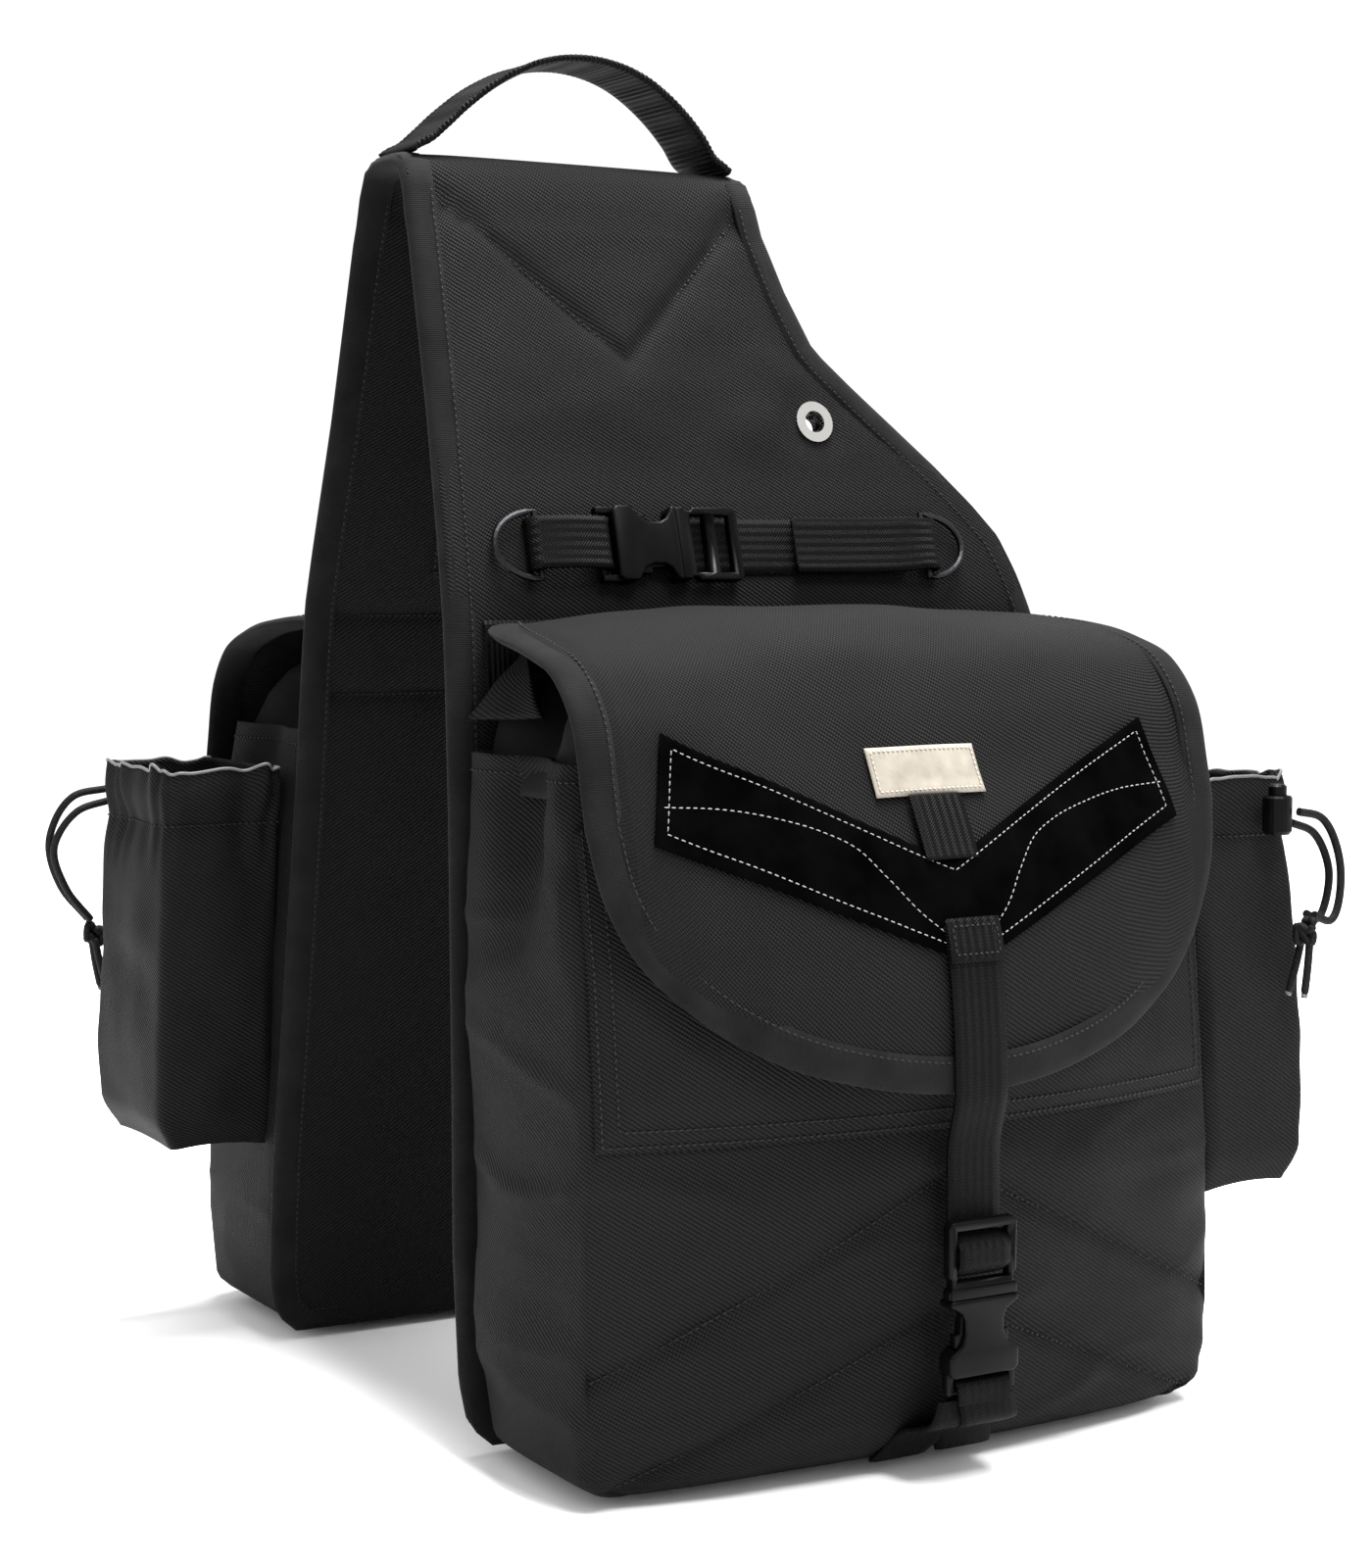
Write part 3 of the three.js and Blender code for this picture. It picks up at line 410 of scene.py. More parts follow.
def smooth_path(points, count):
    """Evenly spaced points on a smooth curve through these."""
    points = np.asarray(points, float)
    steps = np.linalg.norm(np.diff(points, axis=0), axis=1)
    at = np.concatenate([[0], np.cumsum(steps)])
    slopes = np.gradient(points, at, axis=0)
    wanted = np.linspace(0, at[-1], count)
    i = np.clip(np.searchsorted(at, wanted, side="right") - 1, 0, len(steps) - 1)
    t = ((wanted - at[i]) / steps[i])[:, None]
    h = steps[i][:, None]
    return ((2 * t ** 3 - 3 * t ** 2 + 1) * points[i] + (t ** 3 - 2 * t ** 2 + t) * h * slopes[i]
            + (3 * t ** 2 - 2 * t ** 3) * points[i + 1] + (t ** 3 - t ** 2) * h * slopes[i + 1])


def resample(points, count):
    """Evenly spaced points along straight lines through these."""
    points = np.asarray(points, float)
    at = lengths(points)
    wanted = np.linspace(0, at[-1], count)
    return np.stack([np.interp(wanted, at, points[:, k]) for k in range(points.shape[1])], axis=1)


def rounded(corners, count, times):
    """Closed outline of that many points through these corners, smoothed that many times."""
    ring = resample(corners, count + 1)[:-1]
    for _ in range(times):
        ring = 0.5 * ring + 0.25 * (np.roll(ring, 1, axis=0) + np.roll(ring, -1, axis=0))
    return ring


def at_height(ring, z):
    return np.concatenate([ring, np.full((len(ring), 1), z)], axis=1)


def levels_at(levels, z):
    """Each value of a table of (height, values) at height z."""
    return [np.interp(z, levels[:, 0], levels[:, k]) for k in range(1, levels.shape[1])]


def sheet_faces(rows, columns):
    """Faces of an outer grid, the like inner grid and the rim between them."""
    count = rows * columns
    rim = list(range(columns)) + [r * columns + columns - 1 for r in range(1, rows)]
    rim += [(rows - 1) * columns + c for c in range(columns - 2, -1, -1)]
    rim += [r * columns for r in range(rows - 2, 0, -1)]
    faces = grid_faces(rows, columns) + grid_faces(rows, columns, count, flip=True)
    return faces + [(a, count + a, count + b, b) for a, b in zip(rim, rim[1:] + rim[:1])]


def joining_faces(rows, columns):
    """Faces from the last ring back to the first."""
    last = (rows - 1) * columns
    return [(last + c, last + (c + 1) % columns, (c + 1) % columns, c) for c in range(columns)]


def lumps(points, size, seed, stretch=(1, 1, 1)):
    """Smooth noise from -1 to 1 with lumps of about that size in millimetres."""
    scaled = np.asarray(points, float).reshape(-1, 3) / size / np.asarray(stretch, float) + 17.3 * seed
    values = [mathutils.noise.noise(Vector(p)) for p in scaled]
    return np.array(values).reshape(np.shape(points)[:-1])


def seam_distance(x, z, line):
    """Distance in the xz plane to a line of points."""
    nearest = np.full(np.shape(x), 1e9)
    for (x0, z0), (x1, z1) in zip(line, line[1:]):
        along = np.array([x1 - x0, z1 - z0], float)
        share = np.clip(((x - x0) * along[0] + (z - z0) * along[1]) / (along @ along), 0, 1)
        nearest = np.minimum(nearest, np.hypot(x - x0 - share * along[0], z - z0 - share * along[1]))
    return nearest


def quilted(distance, depth, width):
    """How far a quilting seam pulls the cloth in: a sharp dip in a soft valley."""
    valley = np.exp(-(distance / width) ** 2)
    dip = np.exp(-(distance / (0.28 * width)) ** 2)
    return depth * (0.45 * valley + 0.55 * dip)


# ---------- meshes ----------

def placed(points, half, mirror=False):
    """Metres, turned (or mirrored) to the rear half if that's where the piece belongs."""
    sign = np.array([1, 1, 1], float)
    if half == "rear":
        sign = np.array([1, -1, 1], float) if mirror else np.array([-1, -1, 1], float)
    return np.asarray(points, float).reshape(-1, 3) * sign * MM


def new_piece(name, points, faces, uvs, material, half="front", mirror=False):
    """Mesh object from points in millimetres. uvs has one pair per point."""
    if half == "rear" and mirror:
        faces = [face[::-1] for face in faces]
    mesh = bpy.data.meshes.new(name)
    mesh.from_pydata(placed(points, half, mirror).tolist(), [], faces)
    layer = mesh.uv_layers.new(name="UVMap")
    index = np.empty(len(mesh.loops), int)
    mesh.loops.foreach_get("vertex_index", index)
    layer.data.foreach_set("uv", np.asarray(uvs, np.float32)[index].ravel())
    mesh.polygons.foreach_set("use_smooth", [True] * len(mesh.polygons))
    mesh.materials.append(MATERIALS[material])
    mesh.update()
    piece = bpy.data.objects.new(name, mesh)
    bpy.context.collection.objects.link(piece)
    return piece


def grid_normals(grid):
    across = np.gradient(grid, axis=1)
    up = np.gradient(grid, axis=0)
    normals = np.cross(across, up)
    return normals / np.maximum(np.linalg.norm(normals, axis=2, keepdims=True), 1e-9)


def grid_uvs(grid):
    """Pairs in millimetres along the columns and rows."""
    u = np.concatenate([[0], np.cumsum(np.linalg.norm(np.diff(grid, axis=1), axis=2).mean(0))])
    v = np.concatenate([[0], np.cumsum(np.linalg.norm(np.diff(grid, axis=0), axis=2).mean(1))])
    return np.stack(np.meshgrid(u, v), axis=2).reshape(-1, 2)


def grid_faces(rows, columns, start=0, flip=False, around=False):
    faces = []
    for r in range(rows - 1):
        for c in range(columns if around else columns - 1):
            d = (c + 1) % columns
            face = (start + r * columns + c, start + r * columns + d,
                    start + (r + 1) * columns + d, start + (r + 1) * columns + c)
            faces.append(face[::-1] if flip else face)
    return faces


def cloth(name, grid, thick, material, half="front", mirror=False, soft_edge=False):
    """Closed sheet. grid is its outer face, rows upwards and columns left to right as seen from outside."""
    grid = np.asarray(grid, float)
    rows, columns = grid.shape[:2]
    normals = grid_normals(grid)
    if soft_edge:
        r = np.minimum(np.arange(rows), np.arange(rows)[::-1])
        c = np.minimum(np.arange(columns), np.arange(columns)[::-1])
        inside = np.minimum(*np.meshgrid(c, r))
        pull = np.where(inside == 0, 0.3, np.where(inside == 1, 0.1, 0))[:, :, None]
        outer = grid - normals * thick * pull
        inner = grid - normals * thick * (1 - pull)
    else:
        outer, inner = grid, grid - normals * thick
    uvs = grid_uvs(grid)
    points = np.concatenate([outer.reshape(-1, 3), inner.reshape(-1, 3)])
    faces = sheet_faces(rows, columns)
    return new_piece(name, points, faces, np.concatenate([uvs, uvs]), material, half, mirror)


def shell(name, rings, material, half="front", closed=False):
    """Closed body from rings, anticlockwise seen from above, first up the outside, then down the inside."""
    rings = np.asarray(rings, float)
    rows, columns = rings.shape[:2]
    uvs = grid_uvs(rings)
    points = rings.reshape(-1, 3)
    faces = grid_faces(rows, columns, around=True)
    if closed:
        faces += joining_faces(rows, columns)
    else:
        for row, flip in ((0, True), (rows - 1, False)):
            centre = len(points)
            points = np.concatenate([points, rings[row].mean(0, keepdims=True)])
            uvs = np.concatenate([uvs, [[0, 0]]])
            for c in range(columns):
                face = (row * columns + c, row * columns + (c + 1) % columns, centre)
                faces.append(face[::-1] if flip else face)
    return new_piece(name, points, faces, uvs, material, half)


def strip(name, path, across, width, thick, material, half="front", mirror=False, ribs=0.0, columns=9):
    """Webbing whose outer face follows the path. across is its width direction, across x along faces out."""
    path = np.asarray(path, float)
    across = np.broadcast_to(np.asarray(across, float), path.shape)
    out = unit(np.cross(across, np.gradient(path, axis=0)))
    u = np.linspace(-1, 1, columns)
    rounding = -0.32 * thick * np.abs(u) ** 8
    rib = -ribs * np.cos(2 * np.pi * lengths(path) / RIB_PITCH)
    height = rounding[None, :] + rib[:, None] * (1 - np.abs(u[None, :]) ** 6)
    sideways = across[:, None, :] * (u * width / 2)[None, :, None]
    grid = path[:, None, :] + sideways + out[:, None, :] * height[:, :, None]
    return cloth(name, grid, thick, material, half, mirror)


def edge_tape(name, edge, inward, normal, half_thick, width, material, half="front", loop=False):
    """Binding folded over an edge. half_thick is half the thickness of what it binds, for each point."""
    tape = TAPE_THICK
    h = np.broadcast_to(np.asarray(half_thick, float), (len(edge),))[:, None]
    upper = [(width, h - 0.3), (width * 0.98, h + 0.7 * tape), (width * 0.6, h + tape),
             (width * 0.25, h * 0.92 + tape), (0.2, h * 0.72 + tape * 0.8), (-1.3, h * 0.4 + 0.2)]
    lower = [(a, -b) for a, b in upper[::-1]]
    section = upper + [(-1.7, 0.0)] + lower + [(width * 0.6, 0.0)]
    rings = np.stack([edge + inward * a + normal * b for a, b in section], axis=1)
    count, sides = rings.shape[:2]
    round_section = np.arange(sides) * 2.4
    uvs = np.stack(np.meshgrid(round_section, lengths(edge)), axis=2).reshape(-1, 2)
    faces = grid_faces(count, sides, around=True)
    if loop:
        faces += joining_faces(count, sides)
    else:
        faces += [tuple(range(sides))[::-1], tuple((count - 1) * sides + c for c in range(sides))]
    return new_piece(name, rings.reshape(-1, 3), faces, uvs, material, half)


def stitches(name, runs, pitch, radius, material, half="front", mirror=False):
    """Rows of separate stitches. Each run is (points, normals) on the cloth."""
    points, faces, uvs = [], [], []
    sides, steps, visible = 5, 10, 7
    for run, normals in runs:
        run = np.asarray(run, float)
        normals = np.broadcast_to(np.asarray(normals, float), run.shape)
        length = np.linalg.norm(np.diff(run, axis=0), axis=1).sum()
        count = max(2, int(length / pitch))
        both = resample(np.concatenate([run, normals], axis=1), count * steps + 1)
        for i in range(count):
            part = both[i * steps:i * steps + 1 + visible]
            ends = [part[0, :3], part[len(part) // 4, :3], part[-len(part) // 4, :3], part[-1, :3]]
            normal = part[0, 3:] / np.linalg.norm(part[0, 3:])
            along = ends[3] - ends[0]
            along = along / max(np.linalg.norm(along), 1e-9)
            side = np.cross(normal, along)
            start = len(points)
            points.append(ends[0] - normal * radius * 0.6)
            for centre in ends[1:3]:
                for k in range(sides):
                    a = 2 * math.pi * k / sides
                    around = normal * (math.cos(a) * 0.8 + 0.25) + side * math.sin(a)
                    points.append(centre + radius * around)
            points.append(ends[3] - normal * radius * 0.6)
            end = len(points) - 1
            for k in range(sides):
                a, b = start + 1 + k, start + 1 + (k + 1) % sides
                faces += [(start, b, a), (a, b, b + sides, a + sides), (end, a + sides, b + sides)]
            uvs += [(0, 0)] * (2 * sides + 2)
    return new_piece(name, points, faces, uvs, material, half, mirror)


def tube_mesh(name, runs, radius, material, half="front"):
    """One mesh of round tubes with rounded ends, one along each run of points."""
    sides = 10
    points, faces, uvs = [], [], []
    for run in runs:
        run = np.asarray(run, float)
        along = unit(np.gradient(run, axis=0))
        side = np.cross(along[0], [0.3, 0.2, 0.93])
        start = len(points)
        length = 0.0
        for i, (centre, way) in enumerate(zip(run, along)):
            side = side - way * (side @ way)
            side /= np.linalg.norm(side)
            other = np.cross(way, side)
            length += np.linalg.norm(run[i] - run[i - 1]) if i else 0
            r = radius * (0.72 if i in (0, len(run) - 1) else 1)
            for k in range(sides):
                a = 2 * math.pi * k / sides
                points.append(centre + r * (side * math.cos(a) + other * math.sin(a)))
                uvs.append((k * 1.1, length))
        faces += grid_faces(len(run), sides, start, around=True)
        last = start + (len(run) - 1) * sides
        faces += [tuple(range(start, start + sides))[::-1], tuple(range(last, last + sides))]
    return new_piece(name, points, faces, uvs, material, half)


def attach(piece, body, slot=None, *nodes):
    """Rides the piece on a body, in place of CAD nodes if it has them. The slot is not used."""
    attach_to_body(piece, body)
    if nodes:
        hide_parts(*nodes)
    return piece


def sew(name, runs, body, half="front", pitch=3.0, radius=0.4, material="thread", mirror=False):
    """Rows of stitches that ride on a body."""
    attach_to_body(stitches(name, runs, pitch, radius, material, half, mirror), body)


# ---------- drawcords, first because they hang free ----------

def cord_route(hang, strand):
    """Points of one strand of a drawcord loop, from its lock to the knot."""
    s, i = (1, 0) if strand == "a" else (-1, 1)
    x, y, z = LOCK
    kx, ky, kz = hang["knot"]
    swing = hang["swing"]
    side = LOCK_RADIUS + 1.1
    return [(x + side * 0.94, y - side * 0.34 - s * 2.2 - 1, z + 10 - i * 5.2),
            (x + side + swing * 0.5, y - 4 - s * 2.4, z + 7 - i * 7),
            (x + side + swing * 0.8, y + ky * 0.4 - 3 - s * 3.6, z - 14 - i * 3),
            (x + kx + swing * 0.5, y + ky * 0.8 - s * 3.8, z - 38),
            (x + kx + 2, y + ky - s * 2.4, z + kz + 7.4)]


def make_knot(half, hang):
    """Overhand knot in both strands, with two short tails whose ends are melted pale."""
    centre = np.array(LOCK) + np.array(hang["knot"])
    turns = []
    for phase in (0.0, math.pi):
        t = np.linspace(0, 2 * math.pi, 40) + phase
        knot = np.stack([3.4 * np.sin(t) + 1.0 * np.sin(2 * t), 3.0 * np.cos(t) - 1.2 * np.cos(2 * t),
                         2.6 * np.sin(3 * t) * 0.8 + 3.2 * np.cos(t + phase)], axis=1)
        turns.append(centre + knot)
    tails = []
    for s in (-1, 1):
        tail = [(0, s * 2.4, -2), (-2, s * 3.6, -14), (-5, s * 5, -27)]
        tails.append(centre + smooth_path(tail, 16))
    knot = tube_mesh(half + "_knot", turns + tails, CORD / 2, "braid", half)
    tips = [np.stack([tail[-1], tail[-1] + (tail[-1] - tail[-2]) * 0.9]) for tail in tails]
    caps = tube_mesh(half + "_cord_tips", tips, CORD / 2 + 0.15, "coated", half)
    attach(caps, half + "_half")
    return attach(knot, half + "_half", "cord", half + "_cord_knot")


def make_cords():
    for half, hang in (("front", FRONT_CORD), ("rear", REAR_CORD)):
        knot = make_knot(half, hang)
        for strand in ("a", "b"):
            name = half + "_drawcord_" + strand
            route = placed(smooth_path(cord_route(hang, strand), 48), half)
            data = bpy.data.curves.new(name, "CURVE")
            data.dimensions = "3D"
            data.bevel_depth = CORD / 2 * MM
            data.bevel_resolution = 4
            data.use_fill_caps = True
            spline = data.splines.new("POLY")
            spline.points.add(len(route) - 1)
            for point, place in zip(spline.points, route):
                point.co = (*place, 1)
            data.materials.append(MATERIALS["braid"])
            cord = bpy.data.objects.new(name, data)
            bpy.context.collection.objects.link(cord)
            attach(cord, half + "_half", "cord", half + "_cord_strand_" + strand)


# ---------- yoke: one padded skin from the front panel over the ridge to the rear panel ----------

YOKE_V = [(-133, 519), (-51, 449), (17, 517)]
INNER_SEAMS = (303, 339)
EYELET = (41, 425)
EYELET_HOLE = 6.6
EDGE_FLAT = 15.0
YOKE_MIDDLE_X = -20.0
CLEARLY_OUT = 20.0
BOTTOM_POINTS = 58

# y, z and half thickness of the pad's middle, from under the ridge to its top.
RIDGE_PROFILE = np.array([(-24.9, 508, 3.7), (-23.4, 514, 3.8), (-21.8, 520, 3.9), (-20.0, 525.4, 4.0),
                          (-17.2, 529.6, 4.1), (-13.4, 531.8, 4.2), (-9, 532.5, 4.2), (-4.5, 532.8, 4.2),
                          (0, 532.9, 4.2)])


def yoke_profile():
    """y, z and half thickness along the middle of the pad, from the front's bottom to the rear's bottom."""
    z = np.concatenate([np.arange(3, 500, 3.0), [500, 503]])
    knee = np.exp(-((z - KNEE_Z) / 16) ** 2)
    y = panel_y(z) + PANEL_THICK / 2 + 0.8 * knee
    front = np.stack([y, z, np.full(len(z), PANEL_THICK / 2)], axis=1)
    half = np.concatenate([front, RIDGE_PROFILE])
    return np.concatenate([half, half[:-1][::-1] * np.array([-1, 1, 1])])


def edges_at(z):
    left = np.interp(z, STRAIGHT_EDGE[:, 0], STRAIGHT_EDGE[:, 1])
    right = np.interp(z, FLARED_EDGE[:, 0], FLARED_EDGE[:, 1])
    return left, right


def inside_edges(x, z):
    """How far x is inside the flat margin of the pad's nearer edge."""
    left, right = edges_at(z)
    return np.clip(np.minimum(x - left, right - x) - EDGE_FLAT, 0, None)


def eyelet_flat(x, z):
    """0 on the flat round the eyelet, 1 away from it."""
    return 1 - np.exp(-(np.hypot(x - EYELET[0], z - EYELET[1]) / 17) ** 4)


def yoke_frame():
    """Middle points, normals and half thickness of the pad along its profile."""
    profile = yoke_profile()
    along = unit(np.gradient(profile[:, :2], axis=0))
    normals = np.stack([np.zeros(len(profile)), -along[:, 1], along[:, 0]], axis=1)
    return profile, normals


def outer_loft(x, z):
    """How far the pad's outer face stands out past the panel: puffed at the top, flat under the bag."""
    top = 2.6 * (1 - np.exp(-inside_edges(x, z) / 14)) * fade(z, 398, 430)
    puff = top + 0.8 * fade(z, 340, 352) * (1 - fade(z, 386, 430))
    puff = puff * eyelet_flat(x, z) * (1 - 0.85 * fade(z, 512, 530))
    return puff - quilted(seam_distance(x, z, YOKE_V), 3.2, 9) * fade(z, 420, 450)


def inner_loft(x, z):
    puff = 2.4 * (1 - np.exp(-inside_edges(x, z) / 16)) * (1 - 0.6 * fade(z, 490, 515))
    for seam in INNER_SEAMS:
        puff = puff - quilted(np.abs(z - seam), 2.4, 8)
    return puff * eyelet_flat(x, z) - quilted(seam_distance(x, z, YOKE_V), 1.6, 9) * fade(z, 420, 450)


def make_yoke():
    profile, normals = yoke_frame()
    z = profile[:, 1]
    left, right = edges_at(z)
    rows, columns = len(z), 104
    x = left[:, None] + (right - left)[:, None] * np.linspace(0, 1, columns)
    zz = np.broadcast_to(z[:, None], x.shape)
    middle = np.stack([x, np.broadcast_to(profile[:, 0][:, None], x.shape), zz], axis=2)
    edge = np.minimum(x - left[:, None], right[:, None] - x)
    thick = profile[:, 2][:, None] * (0.72 + 0.28 * fade(edge, 0, 7))
    slack = 1.5 * lumps(middle, 52, 3) + 0.7 * lumps(middle, 22, 4, (1.5, 1, 0.8))
    slack = slack * fade(edge, EDGE_FLAT, 34) * fade(zz, 390, 420) * (1 - fade(zz, 505, 530))
    outer = middle + normals[:, None, :] * (thick + outer_loft(x, zz) + slack)[:, :, None]
    slack = (1.2 * lumps(middle, 70, 5) + 0.7 * lumps(middle, 24, 6)) * fade(edge, EDGE_FLAT, 34)
    inner = middle - normals[:, None, :] * (thick + inner_loft(x, zz) + slack)[:, :, None]
    uvs = grid_uvs(middle)
    uvs[:, 0] = x.ravel()
    skin = new_piece("yoke_pad", np.concatenate([outer.reshape(-1, 3), inner.reshape(-1, 3)]),
                     sheet_faces(rows, columns), np.concatenate([uvs, uvs]), "twill")
    for side in (-1, 1):
        drill_eyelet(skin, side)
    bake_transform(skin)
    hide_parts("yoke_ridge", "front_yoke_panel", "rear_yoke_panel")
    make_yoke_binding(profile, normals, left, right)
    make_yoke_stitches()


def drill_eyelet(skin, side):
    """Round hole through the pad for the eyelet, on the front (-1) or the rear (1)."""
    x, z = EYELET
    y = panel_y(z) + PANEL_THICK / 2
    bpy.ops.mesh.primitive_cylinder_add(radius=EYELET_HOLE * MM, depth=30 * MM, vertices=48,
                                        location=(x * MM, -side * y * MM, z * MM),
                                        rotation=(math.pi / 2 + side * TILT, 0, 0))
    drill = bpy.context.object
    modify(skin, "BOOLEAN", object=drill, solver="EXACT")
    bpy.data.objects.remove(drill)


def between(a, b):
    """Points along the pad's bottom edge from a to b, without either."""
    return np.linspace(a, b, BOTTOM_POINTS + 2)[1:-1]


def make_yoke_binding(profile, normals, left, right):
    """Tape round the pad's whole edge, as one loop that crosses the ridge twice."""
    keep = np.arange(0, len(profile), 2)
    if keep[-1] != len(profile) - 1:
        keep = np.append(keep, len(profile) - 1)
    side_a = np.stack([left, profile[:, 0], profile[:, 1]], axis=1)[keep]
    side_b = np.stack([right, profile[:, 0], profile[:, 1]], axis=1)[keep][::-1]
    normal_a, normal_b = normals[keep], normals[keep][::-1]
    half_a, half_b = profile[keep, 2], profile[keep, 2][::-1]
    edge = np.concatenate([side_a, between(side_a[-1], side_b[0]), side_b, between(side_b[-1], side_a[0])])
    normal = np.concatenate([normal_a, np.repeat(normal_a[-1:], BOTTOM_POINTS, axis=0),
                             normal_b, np.repeat(normal_b[-1:], BOTTOM_POINTS, axis=0)])
    bottom_half = np.full(BOTTOM_POINTS, PANEL_THICK / 2)
    thick = np.concatenate([half_a, bottom_half, half_b, bottom_half]) * 0.86
    along = np.roll(edge, -1, axis=0) - np.roll(edge, 1, axis=0)
    along = 0.25 * np.roll(along, 1, axis=0) + 0.5 * along + 0.25 * np.roll(along, -1, axis=0)
    inward = unit(np.cross(along, normal))
    wrong = inward[:, 0] * (YOKE_MIDDLE_X - edge[:, 0]) < -CLEARLY_OUT
    inward[wrong] *= -1
    tape = edge_tape("yoke_binding", edge, inward, normal, thick, 11.5, "tape", loop=True)
    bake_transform(tape)
    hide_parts("front_yoke_binding", "rear_yoke_binding")
    for half, sign in (("front", -1), ("rear", 1)):
        runs = []
        for start, end in true_runs(edge[:, 1] * sign > 20):
            for face in (1, -1):
                run = edge[start:end] + inward[start:end] * 9.3
                run = run + normal[start:end] * ((thick[start:end] + 1.5) * face)[:, None]
                runs.append((run, normal[start:end] * face))
        sew(half + "_binding_thread", runs, half + "_half", pitch=3.1, radius=0.33)


def true_runs(flags):
    """(start, end) of each run of true flags."""
    edges = np.flatnonzero(np.diff(np.concatenate([[0], flags.astype(int), [0]])))
    return list(zip(edges[::2], edges[1::2]))


def panel_point(x, z, out):
    """Point that far out from the front panel's outer face, and the face's normal there."""
    x, z, out = np.broadcast_arrays(np.asarray(x, float), np.asarray(z, float), np.asarray(out, float))
    slope = np.where(z > KNEE_Z, UPPER_SLOPE, LOWER_SLOPE)
    scale = np.sqrt(1 + slope ** 2)
    normal = np.stack([np.zeros_like(x), -1 / scale, slope / scale], axis=-1)
    return np.stack([x, panel_y(z), z], axis=-1) + normal * out[..., None], normal


def on_panel(line, face=1):
    """Points of an x, z line on the quilted outer (1) or inner (-1) face of the front panel."""
    line = resample(line, 90)
    x, z = line[:, 0], line[:, 1]
    if face == 1:
        return panel_point(x, z, outer_loft(x, z) + 0.3)
    points, normals = panel_point(x, z, -PANEL_THICK - inner_loft(x, z) - 0.3)
    return points, -normals


def box_outline(x0, x1, z0, z1):
    return [(x0, z0), (x1, z0), (x1, z1), (x0, z1), (x0, z0), (x1, z1), (x1, z0), (x0, z1)]


def make_yoke_stitches():
    for half in HALVES:
        runs = [on_panel(YOKE_V), on_panel(YOKE_V, -1)]
        for seam in INNER_SEAMS:
            runs.append(on_panel([(BAND_LEFT, seam), (BAND_RIGHT, seam)], -1))
        flip = 1 if half == "front" else -1
        for x0, x1 in ((-104, -84), (70, 92)):
            a, b = sorted((flip * x0, flip * x1))
            runs.append(on_panel(box_outline(a, b, 359, 379), -1))
        sew(half + "_quilt_thread", runs, half + "_half", half, radius=0.42, mirror=True)


# ---------- band, handle and yoke strap ----------

BAND_Z, BAND_LEFT, BAND_RIGHT = 321.0, -136.0, 131.0
HANDLE_FOOT = 537.2
STRAP_Z = 369.0
RING_TURN, RING_BAR, RING_GAP = 3.8, 4.1, 0.07
SEAM_HALF = 10.4


def make_band(half):
    x = np.arange(BAND_LEFT, BAND_RIGHT + 0.2, 0.48)
    points, _ = panel_point(x, np.full(len(x), BAND_Z), 1.9)
    slope = math.atan(LOWER_SLOPE)
    up = np.array([0, math.sin(slope), math.cos(slope)])
    band = strip(half + "_ribbed_band", points[::-1], up, WIDE_WEB, 1.8, "ribbed", half, mirror=True,
                 ribs=0.5, columns=19)
    attach(band, half + "_half", "webbing", half + "_yoke_band")


def make_handle():
    foot = HANDLE_FOOT
    arch = [(-136.5, foot - 3.0), (-133.5, foot - 0.8), (-128, foot + 2), (-121, 545), (-111, 554),
            (-93, 567), (-72, 576), (-50, 578), (-28, 573), (-9, 561), (3, 549), (10, foot + 2.4),
            (15, foot - 0.8), (18, foot - 3.0)]
    path = smooth_path([(x, 0, z + 2.2) for x, z in arch], 520)
    handle = strip("handle_webbing", path, (0, 1, 0), WIDE_WEB, 2.4, "ribbed", ribs=0.45, columns=19)
    attach(handle, "front_half", "webbing", "handle")
    across = np.array([(0, y, 0.7) for y in (-15, 15)], float)
    runs = [(path[at] + across, np.array([0, 0, 1.0])) for at in (16, 24, -24, -16)]
    sew("handle_thread", runs, "front_half", pitch=2.8)


def strap_point(x, out, up=0.0):
    """Point by the yoke strap: x along it, out from the panel, up along the panel."""
    points, _ = panel_point(x, np.full(np.shape(x), STRAP_Z), out)
    return points + UP_PANEL * up


def strap_piece(name, outline, count, width, thick, half, node):
    """Webbing on the panel along a line drawn as x, out from the panel, narrower at the right ring."""
    line = smooth_path(outline, count)
    path = strap_point(line[:, 0], line[:, 1])[::-1]
    narrowing = 1 - RING_GAP * fade(path[:, 0], 76, 86)
    piece = strip(name, path, UP_PANEL * narrowing[:, None], width, thick, "herring", half)
    attach(piece, half + "_half", "webbing", node)


def half_circle(x, out, radius, start):
    """Points of a half turn in x, out, anticlockwise from the start angle."""
    return [(x + radius * math.cos(a), out + radius * math.sin(a))
            for a in np.linspace(start, start + math.pi, 10)]


